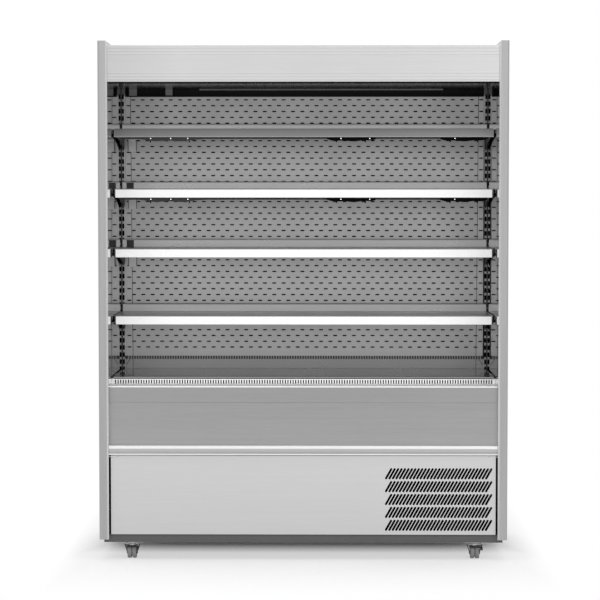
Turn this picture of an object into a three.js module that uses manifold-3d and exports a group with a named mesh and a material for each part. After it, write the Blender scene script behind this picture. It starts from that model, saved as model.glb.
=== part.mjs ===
// Open multideck display fridge on castors: foamed cabinet, four adjustable shelves, chilled well
// with evaporator and fans, machine bay with compressor and condenser, and a spring night blind.
// Millimetres, +Z up. The front faces -Y. Origin: on the floor, under the middle of the cabinet.
import * as THREE from 'three';
import { mergeGeometries, mergeVertices } from 'three/addons/utils/BufferGeometryUtils.js';
import Module from 'manifold-3d';

const wasm = await Module();
wasm.setup();

// ---------------------------------------------------------------- driving dimensions
// cabinet
const width = 1500;
const depth = 640;
const height = 1907;
const gap = 0.3; // clearance between pieces that rest on each other
const sheet = 1.5; // folded steel sheet
const endWall = 35; // thickness of a foamed end panel
const foamSkin = 1; // steel skin of a foamed panel
const edgeBevel = 6; // bevel on the front edges of an end panel
const capHeight = 16; // solid cap at the top of an end panel
const capChamfer = 6; // chamfer on the cap's inner edge
const rearWall = 50;
const roofWall = 40;
const roofDrop = 16; // end panels stand this far above the roof
// base
const castorHeight = 65;
const frameHeight = 29;
const frameFlange = 13; // lower rim of the base frame, under the end panels
const frameRim = 20; // how far the rim reaches under an end panel
const frameSheet = 2.5;
const castorBeam = 100; // width of the beams that carry the castors
const castorBeamSheet = 4;
// lower front
const frontRecess = 26; // service panel, fascia and nose lie this far behind the end panels
const wallSetback = 6; // the well's front wall lies this far behind them
const bayHeight = 298; // machine bay, from base frame to well
const panelSideGap = 6; // beside the service panel and the front fascia
const railProud = 18;
const railHeight = 35;
const railDrop = 2; // the rail hangs this far below the well's underside
const railRound = 14; // radius of the rail's top edge
const railLip = 2; // drip lip along the rail's foot
const fasciaHeight = 158;
const noseHeight = 61;
const noseTopDepth = 104;
const noseRadius = 8;
// well and deck
const wellFloor = 40;
const wellWallTop = 92; // thickness of the well's front wall at its top
const wellWallFoot = 52;
const grilleHeight = 19;
const grilleReturn = 36;
const combPitch = 9.6;
const combSlot = 4.1;
const combSlotHeight = 12;
const deckRise = 5; // deck above the grille's top
const deckSideGap = 4;
const deckFrontGap = 6; // deck behind the grille's face
const deckRearGap = 2; // deck in front of the uprights
// display space
const ductDepth = 50; // air duct between back panel and rear panel
const backPanelSheet = 1.2;
const backLedge = 16; // ledge along the back panel's foot, under the deck
const headGap = 38; // open slot above the back panel
const uprightWidth = 15.4;
const uprightSheet = 2;
const uprightFoot = 70; // uprights start this far below the deck
const uprightProud = 4; // face of the uprights in front of the back panel
const slotPitch = 28;
const slotHeight = 19;
const slotWidth = 6;
const shelfCount = 4;
const shelfTopSlots = 6; // slots left free above the one that carries the top shelf
const slotMargin = 4; // least metal left at an upright's ends
const slotRise = -12; // height of slot 0's lower edge above the deck
// shelves
const shelfFrontInset = 194; // shelf front behind the end panels' front
const shelfDepth = 327;
const shelfSideGap = 3.5;
const lipHeight = 30.5;
const lipReturn = 14;
const lipRise = 2; // the lip stands this far above the shelf's surface
const riserHeight = 28;
const riserReturn = 6; // riser's top edge, folded forwards
const shelfFlange = 16;
const hookDrop = 12; // bearing edge of the upper hook below the shelf's surface
const bracketSheet = 3;
const bracketRear = 74;
const bracketFront = 25;
const stripSheet = 1.2;
const stripHook = 3; // how far the strip reaches under the lip
const stripDrop = 3.5; // top of the strip below the top of the lip
const lampInset = 24; // lamp behind the shelf's lip
const lampWidth = 18;
const lampDrop = 44;
const lampBody = 13;
const lampEndGap = 22;
// canopy
const fasciaInset = 8;
const canopyHeight = 133;
const fasciaSheet = 2.5;
const fasciaReturn = 14; // lip along the fascia's lower edge
const ridgeHeight = 1.6;
const ridgeWidth = 7;
const ridgePitch = 11.5;
const ridgeCount = 3;
const ridgeMargin = 6;
const outletDepth = 56; // air honeycomb
const outletHeight = 18;
const outletBack = 125.5; // rear of the honeycomb behind the end panels' front
const outletCells = 24;
const outletWeb = 3;
const linerUpturn = 20;
const strapWidth = 30;
const strapHeight = 33;
const strapInset = 43;
const clipWidth = 27;
const clipHeight = 25;
const clipInset = 186;
// night blind
const rollerInset = 37; // roller axis behind the end panels' front
const rollerRise = 64; // roller axis above the canopy's lower edge
const rollerRadius = 12;
const clothRollRadius = 20;
const clothSheet = 1.2;
const clothEndGap = 25;
const rollerEnds = 10; // roller longer than the cloth, at each end
const railEnds = 4; // pull rail longer than the cloth, at each end
const blindRailRound = 4;
const pinRadius = 4;
const pinClearance = 0.3;
const pinReach = 4; // how far a pin enters an end panel
const blindRailHeight = 20;
const blindRailWidth = 12;
const blindRailRise = 4; // rail above the canopy's lower edge at rest
// service panel
const panelTopGap = 3.5;
const panelFootGap = 1;
const panelFlange = 14;
const panelPinRadius = 2.5;
const panelPinDrop = 4.5;
const panelPinSetback = 5;
const louvreRows = 5;
const louvreColumns = 30;
const louvreWidth = 7.4;
const louvreHeight = 43;
const louvreLean = 21; // how far a slot leans to the right going up
const louvrePitch = 12.7;
const louvreRowPitch = 47.7;
const louvreEdge = 35; // last slot's foot from the panel's right edge
const louvreTop = 45; // first row below the panel's top
// machine bay
const coilWidth = 350;
const coilHeight = 240;
const coilDepth = 50;
const coilHeader = 14;
const coilHeaderInset = 8; // header behind the fins' front and in front of their rear
const coilHeaderMargin = 20; // header below the fins' top and above their foot
const coilFins = 20;
const finSheet = 2;
const coilRightGap = 34;
const coilFrontGap = 24;
const shroudDepth = 46;
const shroudSheet = 2;
const fanRadius = 98;
const fanTipGap = 5;
const fanHubRadius = 26;
const fanHubLength = 26;
const fanHubRound = 4;
const fanBlades = 5;
const fanBladeSheet = 3;
const fanBladeRoot = 24; // width of a blade at the hub
const fanPitchAngle = 32; // degrees
const motorRadius = 30;
const motorLength = 38;
const shaftRadius = 4;
const shaftLength = 12;
const armWidth = 12;
const armSheet = 4;
const compressorRadius = 82;
const compressorHeight = 190;
const compressorX = 60;
const compressorFoot = 3;
const compressorFootReach = 105;
const compressorFootDepth = 63; // half the foot plate's depth
const compressorRound = 10; // rounding along the dome's foot
const compressorSeam = 4; // welded seam stands out this far
const compressorHollow = 56; // radius of the space inside the dome, open below
const compressorHollowHeight = 150;
const pipeRadius = 5;
const suctionRise = 50; // suction pipe above the compressor
const dischargeReach = 40; // discharge pipe beside it
const controllerSize = [190, 90, 110]; // length, depth, height
const controllerHood = 4; // hood in front of the controller's body
const controllerHoodInset = 6;
const controllerSideGap = 100; // controller from the left end panel
const trayLength = 420;
const trayDepth = 150;
const trayHeight = 55;
const trayWall = 3;
const trayX = -190;
const spoutRadius = 12;
const spoutLength = 40;
const ventRows = 6;
const ventPitch = 26;
const ventHeight = 8;
const ventLength = 360;
const ventX = 330;
const glandRadius = 14;
const glandBore = 6;
const glandDepth = 12;
const glandSideGap = 115;
const glandRise = 60;
// evaporator
const evapLength = 1240;
const evapDepth = 150;
const evapHeight = 110;
const evapFins = 40;
const evapRearGap = 60;
const headerWidth = 26;
const headerDepth = 90;
const headerHeight = 70;
const headerRise = 10; // headers above the evaporator's foot
const fanPlateInset = 230; // fan plate in front of the back panel
const fanPlateSheet = 2;
const evapFanRadius = 72;
const evapFanX = 320;
// castors
const castorInsetX = 115;
const castorInsetY = 86;
const castorTrail = 17;
const castorPlate = 72;
const castorPlateSheet = 4;
const raceRadius = 24;
const raceHeight = 5;
const wheelApothem = 25; // axle height: the wheel stands on a facet
const wheelWidth = 33;
const wheelFacets = 16;
const grooveWidth = 5;
const grooveDepth = 5;
const treadRound = 4;
const axleRadius = 4;
const forkSheet = 3;
const forkCrown = 3;
const forkBoss = 9;
const pedalPinRadius = 2.2;
const pedalReach = 22;
const pedalSheet = 3;
const pedalAhead = 22; // pedal pivot in front of the axle
const pedalRise = 20; // pedal pivot above the axle

// ---------------------------------------------------------------- levels and planes from them
const frontY = -depth / 2;
const backY = depth / 2;
const innerX = width / 2 - endWall; // inner face of an end panel
const panelFoot = castorHeight + frameFlange;
const frameTop = castorHeight + frameHeight;
const wellFoot = frameTop + bayHeight;
const wellInside = wellFoot + wellFloor;
const recessY = frontY + frontRecess; // face of service panel, fascia and nose
const wallY = recessY + wallSetback; // outer face of the well's front wall
const railFoot = wellFoot - railDrop;
const railTop = railFoot + railHeight;
const fasciaTop = railTop + fasciaHeight;
const noseTop = fasciaTop + noseHeight;
const noseBackY = recessY + noseTopDepth;
const grilleTop = noseTop + grilleHeight;
const deckTop = grilleTop + deckRise;
const rearY = backY - rearWall; // inner face of the rear panel
const backPanelY = rearY - ductDepth; // front face of the back panel
const roofTop = height - roofDrop;
const canopyFoot = roofTop - canopyHeight; // ceiling level
const uprightY = backPanelY - uprightProud; // front face of the uprights
const uprightX = innerX - gap - uprightWidth / 2;
const uprightFootZ = deckTop - uprightFoot;
const slotZero = deckTop + slotRise;
const shelfFrontY = frontY + shelfFrontInset;
const shelfBackY = shelfFrontY + shelfDepth;
const shelfHalf = innerX - shelfSideGap;
const panelHalf = innerX - panelSideGap;
const panelTop = railFoot - panelTopGap;
const panelPinZ = panelTop - panelPinDrop;
const panelPinY = recessY + panelPinSetback;
const rollerY = frontY + rollerInset;
const rollerZ = canopyFoot + rollerRise;
const fasciaY = frontY + fasciaInset;
const topSlot = Math.floor((canopyFoot - slotZero) / slotPitch) - shelfTopSlots;
// surfaces of the shelves, top shelf first: they share the uprights' slots out evenly
const shelfLevels = Array.from({ length: shelfCount }, (_, i) =>
  slotZero + Math.round(topSlot * (1 - i / shelfCount)) * slotPitch + hookDrop);

// ---------------------------------------------------------------- finishes
const finishes = {
  steel: { color: 0xb4b4b4, roughness: 0.35, metalness: 0.9 },
  mirrorSteel: { color: 0x9c9c9c, roughness: 0.12, metalness: 1 },
  satin: { color: 0xd4d4d4, roughness: 0.45, metalness: 0.7 },
  greyPanel: { color: 0x9a9a9a, roughness: 0.5, metalness: 0.6 },
  white: { color: 0xf4f4f4, roughness: 0.5, metalness: 0 },
  dark: { color: 0x5a5a5a, roughness: 0.6, metalness: 0.2 },
  black: { color: 0x161616, roughness: 0.5, metalness: 0.1 },
  rubber: { color: 0x6a6a6a, roughness: 0.7, metalness: 0 },
  copper: { color: 0xa8643c, roughness: 0.4, metalness: 0.9 },
  zinc: { color: 0xc0c4c8, roughness: 0.35, metalness: 0.9 },
  cloth: { color: 0xd8d8d4, roughness: 0.9, metalness: 0 },
};

const cabinet = new THREE.Group();

function piece(name, geometry, finish, parent = cabinet) {
  const mesh = new THREE.Mesh(geometry, new THREE.MeshStandardMaterial(finishes[finish]));
  mesh.name = name;
  parent.add(mesh);
  return mesh;
}

// ---------------------------------------------------------------- shape helpers
const X = new THREE.Vector3(1, 0, 0);
const Y = new THREE.Vector3(0, 1, 0);
const Z = new THREE.Vector3(0, 0, 1);

function outlineShape(outline, holes = []) {
  const shape = new THREE.Shape(outline.map(([a, b]) => new THREE.Vector2(a, b)));
  for (const hole of holes) {
    shape.holes.push(new THREE.Path(hole.map(([a, b]) => new THREE.Vector2(a, b))));
  }
  return shape;
}

function prism(outline, length, holes) {
  const shape = outlineShape(outline, holes);
  return new THREE.ExtrudeGeometry(shape, { depth: length, bevelEnabled: false, steps: 1 });
}

// outline in (y, z), carried from x0 to x1
function alongX(outline, x0, x1, holes) {
  const turn = new THREE.Matrix4().makeBasis(Y, Z, X).setPosition(x0, 0, 0);
  return prism(outline, x1 - x0, holes).applyMatrix4(turn);
}

// outline in (x, z), carried from y0 to y1
function alongY(outline, y0, y1, holes) {
  const turn = new THREE.Matrix4().makeBasis(X, Z, Y.clone().negate()).setPosition(0, y1, 0);
  return prism(outline, y1 - y0, holes).applyMatrix4(turn);
}

// outline in (x, y), carried from z0 to z1
function alongZ(outline, z0, z1, holes) {
  return prism(outline, z1 - z0, holes).translate(0, 0, z0);
}

function box(x0, x1, y0, y1, z0, z1) {
  const block = new THREE.BoxGeometry(x1 - x0, y1 - y0, z1 - z0);
  return block.translate((x0 + x1) / 2, (y0 + y1) / 2, (z0 + z1) / 2);
}

function rectangle(a0, a1, b0, b1) {
  return [[a0, b0], [a1, b0], [a1, b1], [a0, b1]];
}

function arc(cx, cy, radius, from, to, steps) {
  return Array.from({ length: steps + 1 }, (_, i) => {
    const angle = THREE.MathUtils.degToRad(from + ((to - from) * i) / steps);
    return [cx + radius * Math.cos(angle), cy + radius * Math.sin(angle)];
  });
}

function circle(cx, cy, radius, steps) {
  return arc(cx, cy, radius, 0, 360 * (1 - 1 / steps), steps - 1);
}

// profile in (radius, distance along the axis), turned about the axis; phase turns its facets
function turned(profile, axis, segments, phase = 0) {
  const points = profile.map(([r, h]) => new THREE.Vector2(r, h));
  const body = new THREE.LatheGeometry(points, segments, phase, Math.PI * 2);
  const turn = new THREE.Quaternion().setFromUnitVectors(Y, axis);
  return body.applyQuaternion(turn);
}

function rod(radius, from, to, axis, segments = 16) {
  return turned([[0, from], [radius, from], [radius, to], [0, to]], axis, segments);
}

// folded sheet: the path is one face, the other lies to the left of it by the thickness
function folded(path, thickness) {
  const normals = path.slice(1).map(([a, b], i) => {
    const [pa, pb] = path[i];
    const length = Math.hypot(a - pa, b - pb);
    return [-(b - pb) / length, (a - pa) / length];
  });
  const other = path.map(([a, b], i) => {
    const before = normals[Math.max(i - 1, 0)];
    const after = normals[Math.min(i, normals.length - 1)];
    const sum = [before[0] + after[0], before[1] + after[1]];
    const scale = (2 * thickness) / (sum[0] ** 2 + sum[1] ** 2);
    return [a + sum[0] * scale, b + sum[1] * scale];
  });
  return [...path, ...other.reverse()];
}

function solidOf(geometry) {
  const bare = geometry.clone();
  bare.deleteAttribute('normal');
  bare.deleteAttribute('uv');
  const merged = mergeVertices(bare, 1e-4);
  return new wasm.Manifold(new wasm.Mesh({
    numProp: 3,
    vertProperties: Float32Array.from(merged.attributes.position.array),
    triVerts: Uint32Array.from(merged.index.array),
  }));
}

function geometryOf(solid) {
  const mesh = solid.getMesh();
  const geometry = new THREE.BufferGeometry();
  geometry.setAttribute('position', new THREE.BufferAttribute(mesh.vertProperties, 3));
  geometry.setIndex(new THREE.BufferAttribute(mesh.triVerts, 1));
  geometry.computeVertexNormals();
  return geometry;
}

function join(...geometries) {
  return geometryOf(geometries.map(solidOf).reduce((whole, part) => whole.add(part)));
}

// the tools must not overlap each other
function cut(geometry, tools) {
  const bare = tools.map((tool) => (tool.index ? tool.toNonIndexed() : tool));
  return geometryOf(solidOf(geometry).subtract(solidOf(mergeGeometries(bare))));
}

// a body mirrored to the other side of the cabinet
function mirrored(geometry) {
  const turnedRound = geometry.clone().scale(-1, 1, 1);
  const { array } = turnedRound.index;
  for (let i = 0; i < array.length; i += 3) {
    [array[i], array[i + 1]] = [array[i + 1], array[i]];
  }
  return turnedRound;
}

// two distances from the middle, put in rising order on the given side
function span(side, near, far) {
  return side > 0 ? [near, far] : [-far, -near];
}

// ---------------------------------------------------------------- cabinet shell
function endPanel(side) {
  const outer = width / 2;
  const outline = [
    [innerX, frontY + edgeBevel],
    [innerX + edgeBevel, frontY],
    [outer - edgeBevel, frontY],
    [outer, frontY + edgeBevel],
    [outer, backY],
    [innerX, backY],
  ];
  const body = alongZ(outline, panelFoot + gap, height);
  const foam = box(innerX + foamSkin, outer - foamSkin, frontY + edgeBevel + foamSkin,
    backY - foamSkin, panelFoot - 1, height - capHeight);
  const chamfer = alongY([
    [innerX - 1, height - capHeight + foamSkin],
    [innerX + capChamfer, height + 1],
    [innerX - 1, height + 1],
  ], frontY - 1, backY + 1);
  const bearings = [[panelPinY, panelPinZ, panelPinRadius], [rollerY, rollerZ, pinRadius]];
  const holes = bearings.map(([y, z, radius]) =>
    rod(radius + pinClearance, innerX - 1, innerX + foamSkin + 1, X).translate(0, y, z));
  const panel = cut(cut(body, [foam]), [chamfer, ...holes]);
  return side > 0 ? panel : mirrored(panel);
}

function foamedSection(outline, hole) {
  return alongX(outline, -innerX + gap, innerX - gap, [hole]);
}

function rearPanel() {
  const foot = wellFoot + gap;
  const outline = [
    [rearY, foot],
    [backY - foamSkin, foot],
    [backY - foamSkin, frameTop + gap],
    [backY, frameTop + gap],
    [backY, roofTop],
    [rearY, roofTop],
  ];
  const foam = rectangle(rearY + foamSkin, backY - foamSkin, foot + foamSkin, roofTop - foamSkin);
  const section = foamedSection(outline, foam);
  const vents = Array.from({ length: ventRows }, (_, row) => {
    const z = frameTop + ventPitch * (row + 2);
    return box(ventX - ventLength / 2, ventX + ventLength / 2, backY - 2 * foamSkin, backY + 1,
      z, z + ventHeight);
  });
  const glandX = -innerX + glandSideGap;
  const glandZ = frameTop + glandRise;
  const gland = rod(glandRadius, backY - glandDepth, backY, Y).translate(glandX, 0, glandZ);
  const bore = rod(glandBore, backY - glandDepth - 1, backY + 1, Y).translate(glandX, 0, glandZ);
  return cut(join(section, gland), [...vents, bore]);
}

function roofPanel() {
  const front = fasciaY + fasciaSheet + gap;
  const back = rearY - gap;
  const outer = rectangle(front, back, roofTop - roofWall, roofTop);
  const foam = rectangle(front + foamSkin, back - foamSkin, roofTop - roofWall + foamSkin,
    roofTop - foamSkin);
  return foamedSection(outer, foam);
}

function wellTank() {
  const top = noseTop - sheet - gap;
  const back = rearY - gap;
  const outline = [
    [wallY, wellFoot],
    [back, wellFoot],
    [back, wellInside],
    [wallY + wellWallFoot, wellInside],
    [wallY + wellWallTop, top],
    [wallY + noseRadius / 2, top],
    [wallY, top - noseRadius / 2],
  ];
  const foam = [
    [wallY + foamSkin, wellFoot + foamSkin],
    [back - foamSkin, wellFoot + foamSkin],
    [back - foamSkin, wellInside - foamSkin],
    [wallY + wellWallFoot - foamSkin, wellInside - foamSkin],
    [wallY + wellWallTop - 2 * foamSkin, top - foamSkin],
    [wallY + noseRadius / 2 + foamSkin, top - foamSkin],
    [wallY + foamSkin, top - noseRadius / 2 - foamSkin],
  ];
  const spout = rod(spoutRadius, wellFoot - spoutLength, wellFoot + foamSkin / 2, Z)
    .translate(trayX, rearY - trayDepth / 2, 0);
  return join(foamedSection(outline, foam), spout);
}

// tray turned upside down, with a rim that reaches under the end panels; a beam along each side
// of its underside carries the castors' top plates and race bosses
function baseFrame() {
  const outer = innerX + frameRim;
  const inner = innerX - gap;
  const ceiling = frameTop - frameSheet;
  const [beamNear, beamFar] = [castorX - castorBeam / 2, castorX + castorBeam / 2];
  const half = [
    [outer, castorHeight],
    [outer, panelFoot],
    [inner, panelFoot],
    [inner, frameTop],
  ];
  const across = (outline) => outline.map(([x, z]) => [-x, z]).reverse();
  const section = [...half, ...across(half)];
  const pocket = [
    [beamFar, castorHeight - 1],
    [outer - frameSheet, castorHeight - 1],
    [outer - frameSheet, panelFoot - frameSheet],
    [inner - frameSheet, panelFoot - frameSheet],
    [inner - frameSheet, ceiling],
    [beamNear + frameSheet, ceiling],
    [beamNear + frameSheet, castorHeight + castorBeamSheet],
    [beamFar, castorHeight + castorBeamSheet],
  ];
  const middle = rectangle(-beamNear, beamNear, castorHeight - 1, ceiling);
  const hollows = [pocket, across(pocket), middle].map((outline) =>
    alongY(outline, recessY + frameSheet, backY - frameSheet));
  const mounts = castorPlaces.flatMap(([x, y]) => {
    const plate = castorPlate / 2;
    const under = castorHeight - castorPlateSheet;
    return [
      box(x - plate, x + plate, y - plate, y + plate, under, castorHeight + 1),
      rod(raceRadius, under - raceHeight, under + 1, Z).translate(x, y, 0),
    ];
  });
  return join(cut(alongY(section, recessY, backY), hollows), ...mounts);
}

// ---------------------------------------------------------------- lower front
function nose() {
  const outer = [
    [wallY - gap, fasciaTop],
    [recessY, fasciaTop],
    ...arc(recessY + noseRadius, noseTop - noseRadius, noseRadius, 180, 90, 5),
    [noseBackY, noseTop],
  ];
  return alongX(folded(outer.reverse(), sheet), -innerX + gap, innerX - gap);
}

function frontFascia() {
  const face = [
    [wallY - gap, fasciaTop - gap],
    [recessY + gap, fasciaTop - gap],
    [recessY + gap, railTop + gap],
    [wallY - gap, railTop + gap],
  ];
  return alongX(folded(face, sheet), -panelHalf, panelHalf);
}

// bull-nosed top, flat face, small drip lip along the foot
function bumperRail() {
  const face = recessY - railProud;
  const outline = [
    [wallY - gap, railTop],
    ...arc(face + railRound, railTop - railRound, railRound, 90, 180, 5),
    [face, railFoot + 5 * railLip],
    [face + railLip, railFoot + 4 * railLip],
    [face + railLip, railFoot + 3 * railLip],
    [face - railLip / 2, railFoot + 2 * railLip],
    [face - railLip / 2, railFoot + railLip],
    [face + railLip, railFoot],
    [wallY - gap, railFoot],
  ];
  return alongX(outline, -innerX + gap, innerX - gap);
}

// comb of upright bars that stands on the nose; its top return carries the deck's front flange
function returnGrille() {
  const foot = noseTop + gap;
  const half = innerX - gap;
  const face = [
    [noseBackY - sheet, foot],
    [noseBackY - sheet, grilleTop],
    [noseBackY + grilleReturn, grilleTop],
  ];
  const strip = alongX(folded(face.reverse(), sheet), -half, half);
  const count = Math.floor((2 * half) / combPitch) - 1;
  const slots = Array.from({ length: count }, (_, i) => {
    const x = (i - (count - 1) / 2) * combPitch;
    return box(x - combSlot / 2, x + combSlot / 2, noseBackY - 3 * sheet, noseBackY + sheet,
      foot - 1, foot + combSlotHeight);
  });
  return cut(strip, slots);
}

function deckPlate() {
  const front = noseBackY + deckFrontGap;
  const back = uprightY - deckRearGap;
  const half = innerX - deckSideGap;
  const path = [
    [back, grilleTop + gap],
    [back, deckTop],
    [front, deckTop],
    [front, grilleTop + gap],
  ];
  return alongX(folded(path, sheet), -half, half);
}

// folded steel panel on two end pins, with slanted louvre slots at its right
function servicePanel() {
  const foot = frameTop + panelFootGap;
  const path = [
    [recessY + panelFlange, panelTop],
    [recessY, panelTop],
    [recessY, foot],
    [recessY + panelFlange, foot],
  ];
  const ends = [-1, 1].flatMap((side) => [
    box(...span(side, panelHalf - sheet, panelHalf), recessY + sheet / 2, recessY + panelFlange,
      foot + sheet / 2, panelTop - sheet / 2),
    rod(panelPinRadius, ...span(side, panelHalf - sheet, innerX + pinReach), X)
      .translate(0, panelPinY, panelPinZ),
  ]);
  const slots = [];
  for (let row = 0; row < louvreRows; row += 1) {
    const top = panelTop - louvreTop - row * louvreRowPitch;
    for (let column = 0; column < louvreColumns; column += 1) {
      const x = panelHalf - louvreEdge - column * louvrePitch;
      slots.push(alongY([
        [x - louvreWidth / 2, top - louvreHeight],
        [x + louvreWidth / 2, top - louvreHeight],
        [x + louvreWidth / 2 + louvreLean, top],
        [x - louvreWidth / 2 + louvreLean, top],
      ], recessY - 1, recessY + 2 * sheet));
    }
  }
  const reach = panelHalf - sheet / 2;
  return cut(join(alongX(folded(path, sheet), -reach, reach), ...ends), slots);
}

// ---------------------------------------------------------------- display space
// flat sheet with a ledge along its foot, which carries the deck's rear flange
function backPanel() {
  const half = uprightX - uprightWidth / 2 - gap;
  const path = [
    [backPanelY, canopyFoot - headGap],
    [backPanelY, grilleTop],
    [backPanelY - backLedge, grilleTop],
  ];
  return alongX(folded(path, backPanelSheet), -half, half);
}

// channel that stands on the rear panel, slotted through its face
function upright(side) {
  const half = uprightWidth / 2;
  const top = canopyFoot - gap;
  const channel = [
    [-half, rearY - gap],
    [-half, uprightY],
    [half, uprightY],
    [half, rearY - gap],
  ];
  const body = alongZ(folded(channel, uprightSheet), uprightFootZ, top);
  const first = Math.ceil((uprightFootZ + slotMargin - slotZero) / slotPitch);
  const last = Math.floor((top - slotMargin - slotHeight - slotZero) / slotPitch);
  const slots = Array.from({ length: last - first + 1 }, (_, i) => {
    const z = slotZero + (first + i) * slotPitch;
    return box(-slotWidth / 2, slotWidth / 2, uprightY - 1, uprightY + 2 * uprightSheet,
      z, z + slotHeight);
  });
  return cut(body, slots).translate(side * uprightX, 0, 0);
}

// The next four shapes are drawn with the shelf's surface at height 0.
function shelfTray() {
  const lipFoot = lipRise - lipHeight - sheet;
  const path = [
    [shelfFrontY + lipReturn, lipFoot],
    [shelfFrontY, lipFoot],
    [shelfFrontY, lipRise],
    [shelfFrontY + 3 * sheet, lipRise],
    [shelfFrontY + 3 * sheet + lipRise, 0],
    [shelfBackY, 0],
    [shelfBackY, riserHeight],
    [shelfBackY - riserReturn, riserHeight],
  ];
  const reach = shelfHalf - sheet / 2;
  const tray = alongX(folded(path.reverse(), sheet), -reach, reach);
  const flanges = [-1, 1].map((side) => box(...span(side, shelfHalf - sheet, shelfHalf),
    shelfFrontY + lipReturn + 4, shelfBackY - 1, -shelfFlange, -sheet / 2));
  return join(tray, ...flanges);
}

// plate bracket: two hooks at its rear, a lower edge that sweeps down towards the upright
function shelfBracket() {
  const top = -sheet - gap;
  const faceY = uprightY - gap; // rear edge, against the upright
  const behind = uprightY + uprightSheet + 2.4; // inside of the upper hook's tongue
  const front = shelfFrontY + lipReturn + 4;
  const edge = -hookDrop + 0.5; // underside of the upper hook
  const lower = edge - 2 * slotPitch;
  const sweep = new THREE.QuadraticBezierCurve(
    new THREE.Vector2(faceY, -bracketRear),
    new THREE.Vector2(faceY - 90, -bracketFront - 10),
    new THREE.Vector2(front, -bracketFront),
  ).getPoints(8).map((point) => [point.x, point.y]);
  const outline = [
    ...sweep,
    [front, top],
    [faceY - 4, top],
    [faceY - 2.6, edge + 8],
    [behind + 3, edge + 8],
    [behind + 3, edge - 8],
    [behind, edge - 8],
    [behind, edge],
    [faceY, edge],
    [faceY, lower + 14],
    [faceY + 5, lower + 14],
    [faceY + 5, lower + 2],
    [faceY, lower + 2],
  ];
  return alongX(outline, -bracketSheet / 2, bracketSheet / 2);
}

function ticketStrip() {
  const face = shelfFrontY - stripSheet - gap;
  const foot = lipRise - lipHeight - sheet - gap - stripSheet;
  const path = [
    [face, lipRise - stripDrop],
    [face, foot],
    [face + stripSheet + gap + stripHook, foot],
  ];
  return alongX(folded(path, stripSheet), -shelfHalf + 2, shelfHalf - 2);
}

// lamp: a web that hangs from the tray, with the lamp body along its foot
function shelfLamp() {
  const front = shelfFrontY + lampInset;
  const half = shelfHalf - lampEndGap;
  const top = -sheet - gap;
  const outline = [
    [front, top],
    [front, -lampDrop],
    [front + lampWidth, -lampDrop],
    [front + lampWidth, -lampDrop + lampBody],
    [front + 3, -lampDrop + lampBody],
    [front + 3, top - 3],
    [front + lampWidth, top - 3],
    [front + lampWidth, top],
  ];
  return alongX(outline, -half, half);
}

// ---------------------------------------------------------------- canopy
function ridges(from) {
  return Array.from({ length: ridgeCount }, (_, i) => {
    const z = from + i * ridgePitch;
    return [
      [fasciaY, z],
      [fasciaY - ridgeHeight, z + ridgeWidth / 4],
      [fasciaY - ridgeHeight, z + ridgeWidth * 0.75],
      [fasciaY, z + ridgeWidth],
    ];
  }).flat();
}

function canopyFascia() {
  const ridgeBand = (ridgeCount - 1) * ridgePitch + ridgeWidth;
  const inner = fasciaY + fasciaSheet;
  const outline = [
    [fasciaY + fasciaReturn, canopyFoot],
    [fasciaY, canopyFoot],
    ...ridges(canopyFoot + ridgeMargin),
    ...ridges(roofTop - ridgeMargin - ridgeBand),
    [fasciaY, roofTop],
    [inner, roofTop],
    [inner, canopyFoot + fasciaSheet],
    [fasciaY + fasciaReturn, canopyFoot + fasciaSheet],
  ];
  return alongX(outline, -innerX + gap, innerX - gap);
}

// ceiling sheet with a strap and a clip hanging from its rear edge, in front of the head gap
function ceilingLiner() {
  const front = frontY + outletBack + gap;
  const path = [
    [front, canopyFoot + linerUpturn],
    [front, canopyFoot],
    [backPanelY + backPanelSheet, canopyFoot],
  ];
  const liner = alongX(folded(path, sheet), -innerX + gap, innerX - gap);
  const tab = (x, across, drop) => box(x - across / 2, x + across / 2,
    backPanelY + backPanelSheet - sheet, backPanelY + backPanelSheet,
    canopyFoot - drop, canopyFoot + sheet / 2);
  return join(
    liner,
    tab(-innerX + strapInset, strapWidth, strapHeight),
    tab(-innerX + clipInset, clipWidth, clipHeight),
  );
}

function airHoneycomb() {
  const back = frontY + outletBack;
  const front = back - outletDepth;
  const half = innerX - gap;
  const cellPitch = (2 * half - outletWeb) / outletCells;
  const top = canopyFoot + outletHeight;
  const cells = Array.from({ length: outletCells }, (_, i) => {
    const x = -half + outletWeb + i * cellPitch;
    return box(x, x + cellPitch - outletWeb, front + outletWeb, back - outletWeb,
      canopyFoot - 1, top + 1);
  });
  return cut(box(-half, half, front, back, canopyFoot, top), cells);
}

// ---------------------------------------------------------------- night blind
function blindRoller() {
  const half = innerX - clothEndGap + rollerEnds;
  const end = innerX + pinReach;
  const profile = [
    [0, -end],
    [pinRadius, -end],
    [pinRadius, -half],
    [rollerRadius, -half],
    [rollerRadius, half],
    [pinRadius, half],
    [pinRadius, end],
    [0, end],
  ];
  return turned(profile, X, 16).translate(0, rollerY, rollerZ);
}

// cloth wound round the roller, with its free end hanging from the rear of the roll
function blindCloth() {
  const half = innerX - clothEndGap;
  const inner = clothRollRadius - clothSheet;
  const leave = THREE.MathUtils.radToDeg(Math.acos(inner / clothRollRadius));
  const foot = canopyFoot + blindRailRise + blindRailHeight + gap - rollerZ;
  const outline = [
    ...arc(0, 0, clothRollRadius, 0, 360 - leave, 20),
    [inner, foot],
    [clothRollRadius, foot],
  ];
  const hole = circle(0, 0, rollerRadius + gap, 16);
  return alongX(outline, -half, half, [hole]).translate(0, rollerY, rollerZ);
}

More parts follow.
